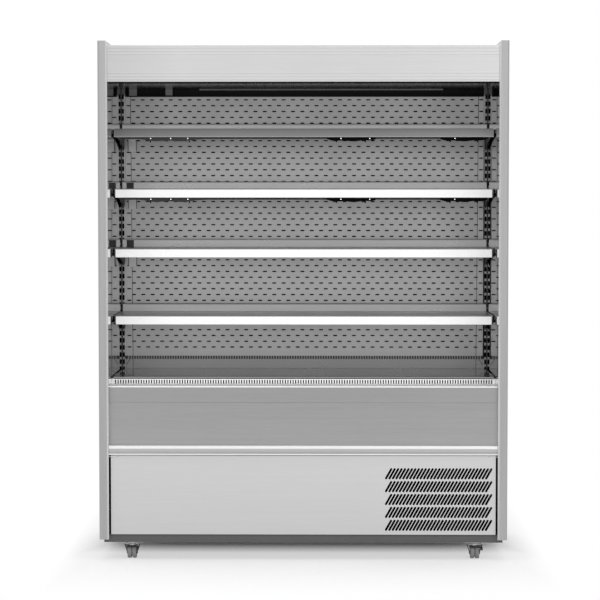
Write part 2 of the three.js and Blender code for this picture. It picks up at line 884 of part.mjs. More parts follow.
function blindRail() {
  const half = innerX - clothEndGap + railEnds;
  const middle = rollerY + clothRollRadius - clothSheet / 2;
  const foot = canopyFoot + blindRailRise;
  const [y0, y1] = [middle - blindRailWidth / 2, middle + blindRailWidth / 2];
  const outline = [
    [y0 + blindRailRound, foot],
    [y1 - blindRailRound, foot],
    [y1, foot + blindRailRound],
    [y1 - blindRailRound / 2, foot + blindRailHeight],
    [y0 + blindRailRound / 2, foot + blindRailHeight],
    [y0, foot + blindRailRound],
  ];
  return alongX(outline, -half, half);
}

// ---------------------------------------------------------------- fans
// rotor about the Y axis, centred on the origin, blades pitched and rooted in the hub
function fanRotor(radius) {
  const hub = turned([
    [0, -fanHubLength / 2],
    [fanHubRadius - fanHubRound, -fanHubLength / 2],
    [fanHubRadius, -fanHubLength / 2 + fanHubRound],
    [fanHubRadius, fanHubLength / 2],
    [0, fanHubLength / 2],
  ], Y, 16);
  const blade = (i) => {
    const tip = radius - 6;
    const outline = [
      [-fanBladeRoot / 2, fanHubRadius - 5],
      [fanBladeRoot / 2, fanHubRadius - 5],
      [fanBladeRoot, tip - 5],
      [fanBladeRoot * 0.6, tip],
      [-fanBladeRoot * 0.75, tip - 2],
    ];
    const flat = alongY(outline, -fanBladeSheet / 2, fanBladeSheet / 2);
    flat.rotateZ(THREE.MathUtils.degToRad(fanPitchAngle));
    return flat.rotateY((i * 2 * Math.PI) / fanBlades);
  };
  return join(hub, ...Array.from({ length: fanBlades }, (_, i) => blade(i)));
}

// motor on two crossed arms behind the fan ring, its shaft ending just behind the rotor's hub;
// two posts carry the arms on the plate, which starts at the given distance behind the rotor
function motorOnArms(radius, plate) {
  const shaftEnd = fanHubLength / 2 + gap;
  const motorFront = shaftEnd + shaftLength;
  const reach = radius + fanTipGap + armWidth;
  const armBack = motorFront + motorLength;
  return [
    rod(shaftRadius, shaftEnd, motorFront + 1, Y, 12),
    rod(motorRadius, motorFront, armBack, Y, 16),
    box(-reach, reach, armBack - armSheet, armBack, -armWidth / 2, armWidth / 2),
    box(-armWidth / 2, armWidth / 2, armBack - armSheet, armBack, -reach, reach),
    ...[-1, 1].map((side) => box(...span(side, reach - armWidth * 0.75, reach + armWidth / 4),
      plate, armBack - armSheet / 2, -armWidth * 0.45, armWidth * 0.45)),
  ];
}

// ---------------------------------------------------------------- machine bay
const bayFloor = frameTop + gap;
const controllerX = -innerX + controllerSideGap + controllerSize[0] / 2;
const coilX = panelHalf - coilRightGap - coilWidth / 2;
const coilFront = recessY + coilFrontGap;
const shroudFront = coilFront + coilDepth + gap;

// fins on a floor sheet, open to the front, the rear and the top
function finPack([x0, x1], [y0, y1], [z0, z1], fins) {
  const pitch = (x1 - x0 - finSheet) / (fins - 1);
  const slots = Array.from({ length: fins - 1 }, (_, i) => box(x0 + i * pitch + finSheet,
    x0 + (i + 1) * pitch, y0 - 1, y1 + 1, z0 + finSheet, z1 + 1));
  return cut(box(x0, x1, y0, y1, z0, z1), slots);
}

function condenserCoil() {
  const half = coilWidth / 2;
  const core = finPack([coilX - half, coilX + half], [coilFront, coilFront + coilDepth],
    [bayFloor, bayFloor + coilHeight], coilFins);
  const ends = [-1, 1].map((side) => box(...span(side, half - 1, half + coilHeader)
    .map((x) => x + coilX), coilFront + coilHeaderInset, coilFront + coilDepth - coilHeaderInset,
    bayFloor + coilHeaderMargin, bayFloor + coilHeight - coilHeaderMargin));
  return join(core, ...ends);
}

const condenserFanY = shroudFront + shroudDepth / 2;
const condenserFanZ = bayFloor + coilHeight / 2;

function condenserShroud() {
  const half = coilWidth / 2;
  const back = shroudFront + shroudDepth;
  const shell = box(coilX - half, coilX + half, shroudFront, back, bayFloor,
    bayFloor + coilHeight);
  const inside = box(coilX - half + shroudSheet, coilX + half - shroudSheet, shroudFront - 1,
    back - shroudSheet, bayFloor + shroudSheet, bayFloor + coilHeight - shroudSheet);
  const ring = rod(fanRadius + fanTipGap, back - 2 * shroudSheet, back + 1, Y, 24)
    .translate(coilX, 0, condenserFanZ);
  const motor = motorOnArms(fanRadius, shroudDepth / 2 - shroudSheet / 2)
    .map((part) => part.translate(coilX, condenserFanY, condenserFanZ));
  return join(cut(cut(shell, [inside]), [ring]), ...motor);
}

function compressor() {
  const floor = bayFloor + compressorFoot;
  const r = compressorRadius;
  const dome = turned([
    [0, 0],
    [r - compressorRound, 0],
    [r, compressorRound],
    [r, compressorHeight * 0.45],
    [r + compressorSeam, compressorHeight * 0.47],
    [r + compressorSeam, compressorHeight * 0.5],
    [r, compressorHeight * 0.52],
    [r * 0.95, compressorHeight * 0.8],
    [r * 0.7, compressorHeight * 0.94],
    [r * 0.4, compressorHeight],
    [0, compressorHeight],
  ], Z, 20).translate(compressorX, 0, floor);
  const reach = compressorFootReach;
  const feet = box(compressorX - reach, compressorX + reach, -compressorFootDepth,
    compressorFootDepth, bayFloor, floor + 1);
  const hollow = rod(compressorHollow, -1, compressorHollowHeight, Z)
    .translate(compressorX, 0, floor - compressorFoot);
  const suction = rod(pipeRadius, 0, compressorHeight + suctionRise, Z, 10)
    .translate(compressorX - r * 0.6, r * 0.25, floor);
  const discharge = rod(pipeRadius, 0, r + dischargeReach, X, 10)
    .translate(compressorX, -r * 0.35, floor + compressorHeight * 0.6);
  return join(cut(join(dome, feet), [hollow]), suction, discharge);
}

function controller() {
  const [long, deep, tall] = controllerSize;
  const front = coilFront;
  const body = box(controllerX - long / 2, controllerX + long / 2, front, front + deep, bayFloor,
    bayFloor + tall);
  const half = long / 2 - controllerHoodInset;
  const hood = box(controllerX - half, controllerX + half, front - controllerHood, front + 1,
    bayFloor + controllerHoodInset, bayFloor + tall - controllerHoodInset);
  return join(body, hood);
}

function condensateTray() {
  const back = rearY - trayDepth / 2;
  const outer = box(trayX - trayLength / 2, trayX + trayLength / 2, back - trayDepth / 2,
    back + trayDepth / 2, bayFloor, bayFloor + trayHeight);
  const inner = box(trayX - trayLength / 2 + trayWall, trayX + trayLength / 2 - trayWall,
    back - trayDepth / 2 + trayWall, back + trayDepth / 2 - trayWall, bayFloor + trayWall,
    bayFloor + trayHeight + 1);
  return cut(outer, [inner]);
}

// ---------------------------------------------------------------- well
const wellBed = wellInside + gap;
const fanPlateY = backPanelY - fanPlateInset;
const evapFanZ = (wellBed + grilleTop) / 2;

function fanPlate() {
  const top = deckTop - sheet - gap;
  const half = innerX - gap;
  const rings = [-1, 1].map((side) => circle(side * evapFanX, evapFanZ,
    evapFanRadius + fanTipGap, 24));
  const plate = alongY(rectangle(-half, half, wellBed, top), fanPlateY,
    fanPlateY + fanPlateSheet, rings);
  const motors = [-1, 1].flatMap((side) => motorOnArms(evapFanRadius, fanPlateSheet / 2)
    .map((part) => part.translate(side * evapFanX, fanPlateY, evapFanZ)));
  return join(plate, ...motors);
}

function evaporatorCoil() {
  const back = rearY - evapRearGap;
  const core = finPack([-evapLength / 2, evapLength / 2], [back - evapDepth, back],
    [wellBed, wellBed + evapHeight], evapFins);
  const middle = back - evapDepth / 2;
  const headers = [-1, 1].map((side) => box(
    ...span(side, evapLength / 2 - 1, evapLength / 2 + headerWidth),
    middle - headerDepth / 2, middle + headerDepth / 2, wellBed + headerRise,
    wellBed + headerRise + headerHeight));
  return join(core, ...headers);
}

// ---------------------------------------------------------------- castors
// Drawn about the swivel axis, with the wheel trailing towards -Y; heights are real.
const forkTop = castorHeight - castorPlateSheet - raceHeight - gap;
const crownFoot = forkTop - forkCrown;
const legX = wheelWidth / 2 + 2 * gap;
const wheelRadius = wheelApothem / Math.cos(Math.PI / wheelFacets);

function castorFork(braked) {
  const axle = [-castorTrail, wheelApothem];
  const pin = [axle[0] - pedalAhead, axle[1] + pedalRise];
  const crownHalf = raceRadius - 4;
  const nosing = braked
    ? [[pin[0] - 5, pin[1] - 4], [pin[0] - 5, forkTop - 2], [pin[0], forkTop]]
    : [[-crownHalf, crownFoot], [-crownHalf, forkTop]];
  const leg = [
    [crownHalf, forkTop],
    [crownHalf, crownFoot],
    ...arc(axle[0], axle[1], forkBoss, 0, -180, 6),
    ...nosing,
  ];
  const holes = [circle(axle[0], axle[1], axleRadius + gap, 12)];
  if (braked) holes.push(circle(pin[0], pin[1], pedalPinRadius + gap, 10));
  const reach = legX + forkSheet;
  const channel = alongY([
    [-reach, 0],
    [-legX, 0],
    [-legX, crownFoot],
    [legX, crownFoot],
    [legX, 0],
    [reach, 0],
    [reach, castorHeight],
    [-reach, castorHeight],
  ], -castorHeight, castorHeight);
  const side = alongX(leg, -reach - 1, reach + 1, holes);
  return geometryOf(solidOf(channel).intersect(solidOf(side)));
}

// twin tread wheel with stub axles; one facet lies flat on the floor
function castorWheel() {
  const radius = wheelRadius;
  const half = wheelWidth / 2;
  const stub = legX + forkSheet - gap;
  const groove = grooveWidth / 2;
  const profile = [
    [0, -stub],
    [axleRadius, -stub],
    [axleRadius, -half],
    [radius - treadRound, -half],
    [radius, -half + treadRound],
    [radius, -groove - 2],
    [radius - grooveDepth, -groove],
    [radius - grooveDepth, groove],
    [radius, groove + 2],
    [radius, half - treadRound],
    [radius - treadRound, half],
    [axleRadius, half],
    [axleRadius, stub],
    [0, stub],
  ];
  const wheel = turned(profile, X, wheelFacets, Math.PI / wheelFacets);
  return wheel.translate(0, -castorTrail, wheelApothem);
}

// brake pedal: pin across the fork, plate to the front, lug against the tread
function brakePedal() {
  const pivot = [-castorTrail - pedalAhead, wheelApothem + pedalRise];
  const lug = Math.hypot(pedalAhead, pedalRise) - wheelRadius - gap;
  const toWheel = Math.atan2(-pedalRise, pedalAhead);
  const plate = alongX([
    [pivot[0] + lug * Math.cos(toWheel), pivot[1] + lug * Math.sin(toWheel)],
    [pivot[0] + pedalSheet / 2, pivot[1] + pedalSheet],
    [pivot[0] - pedalSheet * 2, pivot[1] + pedalSheet],
    [pivot[0] - pedalReach, pivot[1] - pedalSheet * 2],
    [pivot[0] - pedalReach, pivot[1] - pedalSheet * 3],
    [pivot[0] - pedalSheet, pivot[1] - pedalSheet],
  ], -wheelWidth / 2 + 1, wheelWidth / 2 - 1);
  const pin = rod(pedalPinRadius, -legX - forkSheet + gap, legX + forkSheet - gap, X, 10)
    .translate(0, pivot[0], pivot[1]);
  return join(plate, pin);
}

// ---------------------------------------------------------------- assembly
const castorX = width / 2 - castorInsetX;
const castorY = depth / 2 - castorInsetY;
const castorPlaces = [[-castorX, -castorY], [castorX, -castorY], [-castorX, castorY],
  [castorX, castorY]];
const castorNames = ['front_left', 'front_right', 'rear_left', 'rear_right'];

piece('end_panel_left', endPanel(-1), 'steel');
piece('end_panel_right', endPanel(1), 'steel');
piece('rear_panel', rearPanel(), 'steel');
piece('roof_panel', roofPanel(), 'steel');
piece('base_frame', baseFrame(), 'dark');
piece('well_tank', wellTank(), 'steel');
piece('nose_profile', nose(), 'greyPanel');
piece('front_fascia', frontFascia(), 'greyPanel');
piece('bumper_rail', bumperRail(), 'satin');
piece('return_grille', returnGrille(), 'white');
piece('deck_plate', deckPlate(), 'mirrorSteel');
piece('service_panel', servicePanel(), 'satin');
piece('back_panel', backPanel(), 'greyPanel');
piece('upright_left', upright(-1), 'dark');
piece('upright_right', upright(1), 'dark');
piece('canopy_fascia', canopyFascia(), 'satin');
piece('ceiling_liner', ceilingLiner(), 'mirrorSteel');
piece('air_honeycomb', airHoneycomb(), 'black');
piece('blind_roller', blindRoller(), 'zinc');
piece('blind_cloth', blindCloth(), 'cloth');
piece('blind_rail', blindRail(), 'satin');
piece('compressor', compressor(), 'black');
piece('condenser_coil', condenserCoil(), 'copper');
piece('condenser_shroud', condenserShroud(), 'dark');
piece('controller', controller(), 'dark');
piece('condensate_tray', condensateTray(), 'black');
piece('fan_plate', fanPlate(), 'steel');
piece('evaporator_coil', evaporatorCoil(), 'copper');

const condenserFan = piece('condenser_fan', fanRotor(fanRadius), 'black');
condenserFan.position.set(coilX, condenserFanY, condenserFanZ);
for (const [name, side] of [['left', -1], ['right', 1]]) {
  const fan = piece(`evaporator_fan_${name}`, fanRotor(evapFanRadius), 'black');
  fan.position.set(side * evapFanX, fanPlateY, evapFanZ);
}

shelfLevels.forEach((level, i) => {
  const shelf = new THREE.Group();
  shelf.position.z = level;
  cabinet.add(shelf);
  piece(`shelf_tray_${i + 1}`, shelfTray(), 'steel', shelf);
  piece(`shelf_lamp_${i + 1}`, shelfLamp(), 'black', shelf);
  if (i > 0) piece(`ticket_strip_${i + 1}`, ticketStrip(), 'white', shelf);
  for (const [name, side] of [['left', -1], ['right', 1]]) {
    const bracket = piece(`bracket_${name}_${i + 1}`, shelfBracket(), 'dark', shelf);
    bracket.position.x = side * uprightX;
  }
});

castorPlaces.forEach(([x, y], i) => {
  const castor = new THREE.Group();
  castor.position.set(x, y, 0);
  if (y > 0) castor.rotation.z = Math.PI;
  cabinet.add(castor);
  piece(`castor_fork_${castorNames[i]}`, castorFork(y < 0), 'zinc', castor);
  piece(`castor_wheel_${castorNames[i]}`, castorWheel(), 'rubber', castor);
  if (y < 0) piece(`brake_pedal_${castorNames[i]}`, brakePedal(), 'zinc', castor);
});

export default cabinet;
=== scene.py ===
"""Open multideck display fridge: its visible surfaces, finishes, light and camera.

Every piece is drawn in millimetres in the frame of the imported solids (+Z up, the open front
faces -Y) and put into Blender in metres. It rides on the body of the solid it stands for.
"""
import logging
import math
from collections.abc import Iterable, Sequence
from dataclasses import dataclass, field
from enum import Enum
from functools import cache

import bmesh
import bpy
import numpy as np
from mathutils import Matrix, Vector
from mathutils.geometry import delaunay_2d_cdt


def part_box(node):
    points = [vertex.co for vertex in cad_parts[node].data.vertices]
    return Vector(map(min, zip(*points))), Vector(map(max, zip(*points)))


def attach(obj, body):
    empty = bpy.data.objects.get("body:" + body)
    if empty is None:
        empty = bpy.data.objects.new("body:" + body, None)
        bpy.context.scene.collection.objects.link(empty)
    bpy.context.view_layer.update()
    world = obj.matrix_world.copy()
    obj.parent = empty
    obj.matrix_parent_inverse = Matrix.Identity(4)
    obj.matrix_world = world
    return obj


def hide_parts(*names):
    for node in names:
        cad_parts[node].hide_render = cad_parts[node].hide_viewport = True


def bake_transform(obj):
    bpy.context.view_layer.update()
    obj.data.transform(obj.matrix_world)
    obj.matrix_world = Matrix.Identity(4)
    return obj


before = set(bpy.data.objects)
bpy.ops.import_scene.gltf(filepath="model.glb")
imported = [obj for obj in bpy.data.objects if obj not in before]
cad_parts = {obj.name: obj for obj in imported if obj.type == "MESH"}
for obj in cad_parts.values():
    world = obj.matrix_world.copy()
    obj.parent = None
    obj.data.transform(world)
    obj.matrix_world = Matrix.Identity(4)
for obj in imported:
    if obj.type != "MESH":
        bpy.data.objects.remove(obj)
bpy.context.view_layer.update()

MM = 0.001
CABINET = "cabinet"
SIDES = ((-1, "left"), (1, "right"))
log = logging.getLogger("fridge")


# ---------------------------------------------------------------- surfaces as arrays
class Axis(Enum):
    """The direction an outline is carried along, or a profile is turned about."""

    X = 0
    Y = 1
    Z = 2


@dataclass
class Shape:
    """Flat faces on points in millimetres: faces lie end to end in loops, each with a zone."""

    points: np.ndarray
    loops: np.ndarray
    sizes: np.ndarray
    zones: np.ndarray

    @classmethod
    def of(cls, points: np.ndarray, *groups: np.ndarray, zone: int = 0) -> "Shape":
        """Makes a shape from points and groups of faces with as many corners each.

        Args:
            points: the points, one row each.
            groups: arrays of point numbers, one face a row.
            zone: the number of the finish that the faces take.

        Returns:
            The shape.
        """
        sizes = np.concatenate([np.full(len(g), g.shape[1]) for g in groups])
        loops = np.concatenate([g.ravel() for g in groups])
        return cls(np.asarray(points, float), loops, sizes, np.full(len(sizes), zone))

    def __add__(self, other: "Shape") -> "Shape":
        """Puts two shapes side by side in one.

        Args:
            other: the second shape.

        Returns:
            The shape with the faces of both.
        """
        return Shape(
            np.vstack([self.points, other.points]),
            np.concatenate([self.loops, other.loops + len(self.points)]),
            np.concatenate([self.sizes, other.sizes]),
            np.concatenate([self.zones, other.zones]),
        )

    def zoned(self, zone: int) -> "Shape":
        """The same shape with all its faces in one zone."""
        return Shape(self.points, self.loops, self.sizes, np.full(len(self.sizes), zone))

    def moved(self, x: float = 0, y: float = 0, z: float = 0) -> "Shape":
        """The same shape moved by x, y and z."""
        return Shape(self.points + np.array([x, y, z]), self.loops, self.sizes, self.zones)

    def scaled(self, x: float = 1, y: float = 1, z: float = 1) -> "Shape":
        """The same shape stretched about the origin; -1 mirrors it."""
        return Shape(self.points * np.array([x, y, z]), self.loops, self.sizes, self.zones)

    def turned(self, axis: Axis, degrees: float) -> "Shape":
        """The same shape turned about an axis through the origin.

        Args:
            axis: the axis.
            degrees: by how much.

        Returns:
            The turned shape.
        """
        a, b = [i for i in range(3) if i != axis.value]
        c, s = math.cos(math.radians(degrees)), math.sin(math.radians(degrees))
        points = self.points.copy()
        points[:, a] = self.points[:, a] * c - self.points[:, b] * s
        points[:, b] = self.points[:, a] * s + self.points[:, b] * c
        return Shape(points, self.loops, self.sizes, self.zones)

    def copies(self, offsets: np.ndarray) -> "Shape":
        """The shape repeated at each offset.

        Args:
            offsets: one row of x, y, z for each copy.

        Returns:
            All copies in one shape.
        """
        offsets = np.asarray(offsets, float)
        count, n = len(offsets), len(self.points)
        points = (self.points[None] + offsets[:, None]).reshape(-1, 3)
        loops = (self.loops[None] + n * np.arange(count)[:, None]).ravel()
        return Shape(points, loops, np.tile(self.sizes, count), np.tile(self.zones, count))

    def along_x(self, places: np.ndarray) -> "Shape":
        """The shape repeated at each place along X."""
        return self.copies(np.stack([places, 0 * places, 0 * places], axis=1))

    def on_both_sides(self) -> "Shape":
        """The shape and its mirror image across the middle plane."""
        return self + self.scaled(x=-1)


def together(shapes: Iterable[Shape]) -> Shape:
    """All shapes side by side in one.

    Args:
        shapes: one or more shapes.

    Returns:
        The shape with the faces of all.
    """
    shapes = list(shapes)
    whole = shapes[0]
    for shape in shapes[1:]:
        whole = whole + shape
    return whole


def lifted(flat: np.ndarray, axis: Axis, along: float | np.ndarray) -> np.ndarray:
    """Puts flat points at a place along an axis.

    Args:
        flat: (y, z) for X, (x, z) for Y, (x, y) for Z.
        axis: the axis that is at right angles to them.
        along: their place on it.

    Returns:
        The points in space.
    """
    columns = list(np.asarray(flat, float).T)
    columns.insert(axis.value, np.broadcast_to(along, len(flat)))
    return np.stack(columns, axis=1)


def rounded(points: Sequence, radii: float | Sequence[float], closed: bool = True,
            steps: int = 4) -> np.ndarray:
    """Turns the corners of an outline into arcs.

    Each corner's arc starts radius x tan(half the turn) before it and swings a spoke about
    the arc's centre through the angle by which the outline turns there.

    Args:
        points: the outline's corners.
        radii: one radius, or one for each corner; 0 leaves a corner sharp.
        closed: whether the outline comes back to its start.
        steps: facets to an arc.

    Returns:
        The outline with its arcs, without doubled points.
    """
    p = np.asarray(points, float)
    r = np.broadcast_to(np.asarray(radii, float), len(p)).copy()
    if not closed:
        r[[0, -1]] = 0
    before, after = p - np.roll(p, 1, axis=0), np.roll(p, -1, axis=0) - p
    before /= np.linalg.norm(before, axis=1)[:, None]
    after /= np.linalg.norm(after, axis=1)[:, None]
    cross = before[:, 0] * after[:, 1] - before[:, 1] * after[:, 0]
    turn = np.arctan2(cross, (before * after).sum(axis=1))
    start = p - before * (r * np.tan(np.abs(turn) / 2))[:, None]
    left = np.stack([-before[:, 1], before[:, 0]], axis=1) * (r * np.sign(turn))[:, None]
    angle = turn[:, None] * np.linspace(0, 1, steps + 1)
    cos, sin = np.cos(angle)[..., None], np.sin(angle)[..., None]
    spoke = -left[:, None]
    across = np.stack([-spoke[..., 1], spoke[..., 0]], axis=-1)
    ring = ((start + left)[:, None] + spoke * cos + across * sin).reshape(-1, 2)
    keep = np.linalg.norm(ring - np.roll(ring, 1, axis=0), axis=1) > 1e-6
    if not closed:
        keep[0] = True
    return ring[keep]


def sheeted(path: np.ndarray, thickness: float) -> np.ndarray:
    """Gives an open path a second face, one thickness to its left, mitred at every bend.

    Args:
        path: the first face.
        thickness: the sheet's thickness.

    Returns:
        A closed outline.
    """
    path = np.asarray(path, float)
    unit = np.diff(path, axis=0)
    unit /= np.linalg.norm(unit, axis=1)[:, None]
    left = np.stack([-unit[:, 1], unit[:, 0]], axis=1)
    both = np.vstack([left[:1], left]) + np.vstack([left, left[-1:]])
    other = path + both * (2 * thickness / (both ** 2).sum(axis=1))[:, None]
    return np.vstack([path, other[::-1]])


def edge_middles(outline: np.ndarray) -> np.ndarray:
    """The middle of each edge of a closed outline."""
    return (outline + np.roll(outline, -1, axis=0)) / 2


def prism(outline: np.ndarray, axis: Axis, start: float, stop: float) -> Shape:
    """A closed outline carried straight from start to stop: a ring of quads and two caps.

    Args:
        outline: the outline, in the plane at right angles to the axis.
        axis: the direction it is carried in.
        start: where it starts along the axis.
        stop: where it stops.

    Returns:
        The closed prism, its sides first.
    """
    n = len(outline)
    a = np.arange(n)
    b = (a + 1) % n
    points = np.vstack([lifted(outline, axis, start), lifted(outline, axis, stop)])
    return Shape.of(points, np.stack([a, b, b + n, a + n], axis=1), a[None, ::-1], a[None] + n)


def folded(path: Sequence, thickness: float, radius: float, start: float, stop: float) -> Shape:
    """A folded sheet along X: its path in (y, z) with rounded bends, thickened and carried."""
    bends = rounded(path, radius, closed=False)
    return prism(sheeted(bends, thickness), Axis.X, start, stop)


def block(x: Sequence[float], y: Sequence[float], z: Sequence[float], radius: float = 0) -> Shape:
    """A block between pairs of planes whose upright edges are rounded.

    Args:
        x: its lowest and highest place along X.
        y: the same along Y.
        z: the same along Z.
        radius: the radius of its upright edges.

    Returns:
        The block.
    """
    corners = [(x[0], y[0]), (x[1], y[0]), (x[1], y[1]), (x[0], y[1])]
    outline = rounded(corners, radius) if radius else np.asarray(corners, float)
    return prism(outline, Axis.Z, z[0], z[1])


def lathed(profile: Sequence, axis: Axis, segments: int = 32) -> Shape:
    """A profile of (radius, place along the axis) turned once round: radius x (cos, sin).

    Args:
        profile: points of (radius, place along the axis).
        axis: the axis, through the origin.
        segments: steps in one turn.

    Returns:
        The turned surface, closed where the profile meets the axis or itself.
    """
    profile = np.asarray(profile, float)
    angle = np.linspace(0, 2 * math.pi, segments, endpoint=False)[:, None]
    flat = np.stack([profile[:, 0] * np.cos(angle), profile[:, 0] * np.sin(angle)], axis=-1)
    along = np.broadcast_to(profile[:, 1], flat.shape[:2]).ravel()
    points = lifted(flat.reshape(-1, 2), axis, along)
    grid = np.arange(segments * len(profile)).reshape(segments, len(profile))
    after = np.roll(grid, -1, axis=0)
    quads = np.stack([grid[:, :-1], after[:, :-1], after[:, 1:], grid[:, 1:]], axis=-1)
    return Shape.of(points, quads.reshape(-1, 4))


def lofted(rings: np.ndarray) -> Shape:
    """Rings of as many points each joined by quads, with a flat cap on the first and last.

    Args:
        rings: one ring of points a row.

    Returns:
        The closed loft.
    """
    count, sides = rings.shape[:2]
    grid = np.arange(count * sides).reshape(count, sides)
    after = np.roll(grid, -1, axis=1)
    quads = np.stack([grid[:-1], after[:-1], after[1:], grid[1:]], axis=-1).reshape(-1, 4)
    return Shape.of(rings.reshape(-1, 3), quads, grid[:1, ::-1], grid[-1:])


def triangulated(outline: np.ndarray,
                 holes: Sequence[np.ndarray]) -> tuple[np.ndarray, np.ndarray]:
    """Fills an outline round its holes with triangles.

    Args:
        outline: the outer edge.
        holes: edges of the holes.

    Returns:
        The points and the triangles.
    """
    rings = [np.asarray(outline, float), *[np.asarray(hole, float) for hole in holes]]
    ends = np.cumsum([len(ring) for ring in rings])
    faces = [list(range(end - len(ring), end)) for ring, end in zip(rings, ends)]
    flat = [Vector(point) for point in np.vstack(rings).tolist()]
    points, _, triangles, _, _, inside = delaunay_2d_cdt(flat, [], faces, 1, 1e-6)
    kept = [t for t, owners in zip(triangles, inside) if set(owners) == {0}]
    return np.array([tuple(point) for point in points]), np.array(kept)


def plate(outline: np.ndarray, holes: Sequence[np.ndarray], axis: Axis, near: float,
          far: float) -> Shape:
    """A flat plate with holes right through it.

    Both faces are the same triangles; an edge that only one triangle uses gets a wall.

    Args:
        outline: the outer edge, in the plane at right angles to the axis.
        holes: edges of the holes.
        axis: the direction through the plate.
        near: its first face along the axis.
        far: its second face.

    Returns:
        The closed plate.
    """
    flat, triangles = triangulated(outline, holes)
    return thickened(flat, triangles, axis, near, far)


def thickened(flat: np.ndarray, triangles: np.ndarray, axis: Axis, near: float,
              far: float) -> Shape:
    """Two faces of the same triangles, near and far, and a wall at each edge used once.

    Args:
        flat: points in the plane at right angles to the axis.
        triangles: three point numbers a row.
        axis: the direction through the plate.
        near: its first face along the axis.
        far: its second face.

    Returns:
        The closed plate.
    """
    n = len(flat)
    edges = np.vstack([triangles[:, [0, 1]], triangles[:, [1, 2]], triangles[:, [2, 0]]])
    _, index, count = np.unique(np.sort(edges, axis=1), axis=0, return_index=True,
                                return_counts=True)
    rim = edges[index[count == 1]]
    walls = np.stack([rim[:, 0], rim[:, 1], rim[:, 1] + n, rim[:, 0] + n], axis=1)
    points = np.vstack([lifted(flat, axis, near), lifted(flat, axis, far)])
    return Shape.of(points, triangles[:, ::-1], triangles + n, walls)


def capsule(length: float, width: float, lean: float = 0, steps: int = 4) -> np.ndarray:
    """A round-ended slot about the origin: two half circles, leaning by lean degrees.

    Args:
        length: its length from end to end.
        width: its width.
        lean: how far it leans, in degrees.
        steps: facets to a half circle.

    Returns:
        The slot's edge.
    """
    angle = np.linspace(-math.pi / 2, math.pi / 2, steps + 1)
    end = np.stack([np.cos(angle), np.sin(angle)], axis=1) * width / 2
    end[:, 0] += (length - width) / 2
    slot = np.vstack([end, -end])
    c, s = math.cos(math.radians(lean)), math.sin(math.radians(lean))
    return slot @ np.array([[c, s], [-s, c]])


# ---------------------------------------------------------------- shader node groups
class Shared(Enum):
    """Effects that several finishes use, each a node group built once."""

    BRUSHING = "brushed_grain"
    HANDLING = "handling_marks"
    DUST = "settled_dust"
    WEAR = "edge_wear"


class Nodes:
    """A node tree with short words for adding and joining nodes."""

    def __init__(self, tree: bpy.types.NodeTree) -> None:
        """Takes the tree to build in."""
        self.tree = tree

    def add(self, kind: str, inputs: dict | None = None, **settings: object) -> bpy.types.Node:
        """Adds a node.

        Args:
            kind: its type, without the leading ShaderNode.
            inputs: values, or sockets to join, by input name or number.
            settings: the node's own properties.

        Returns:
            The node.
        """
        node = self.tree.nodes.new(kind if kind.startswith("Node") else "ShaderNode" + kind)
        for key, value in settings.items():
            setattr(node, key, value)
        for key, value in (inputs or {}).items():
            if isinstance(value, bpy.types.NodeSocket):
                self.tree.links.new(value, node.inputs[key])
            else:
                node.inputs[key].default_value = value
        return node

    def math(self, operation: str, *values: object) -> bpy.types.NodeSocket:
        """A Math node's result."""
        return self.add("Math", dict(enumerate(values)), operation=operation).outputs[0]

    def mix(self, factor: object, first: object, second: object) -> bpy.types.NodeSocket:
        """A colour between first and second."""
        inputs = {"Factor": factor, 6: first, 7: second}
        return self.add("Mix", inputs, data_type="RGBA").outputs[2]

    def ramp(self, value: object, low: float, high: float, start: float = 0,
             stop: float = 1) -> bpy.types.NodeSocket:
        """A value from low to high, carried over to start to stop and held at both ends."""
        inputs = {"Value": value, 1: low, 2: high, 3: start, 4: stop}
        return self.add("MapRange", inputs, clamp=True).outputs[0]


def new_group(kind: Shared, inputs: dict[str, float],
              outputs: Sequence[str]) -> tuple[Nodes, bpy.types.Node, bpy.types.Node]:
    """Starts a node group with a Vector input.

    Args:
        kind: which effect it is.
        inputs: its other inputs, all numbers, and their default values.
        outputs: its outputs, all numbers.

    Returns:
        Its tree, the node that gives the inputs and the node that takes the outputs.
    """
    tree = bpy.data.node_groups.new(kind.value, "ShaderNodeTree")
    tree.interface.new_socket("Vector", in_out="INPUT", socket_type="NodeSocketVector")
    for name, value in inputs.items():
        made = tree.interface.new_socket(name, in_out="INPUT", socket_type="NodeSocketFloat")
        made.default_value = value
    for name in outputs:
        tree.interface.new_socket(name, in_out="OUTPUT", socket_type="NodeSocketFloat")
    nodes = Nodes(tree)
    return nodes, nodes.add("NodeGroupInput"), nodes.add("NodeGroupOutput")


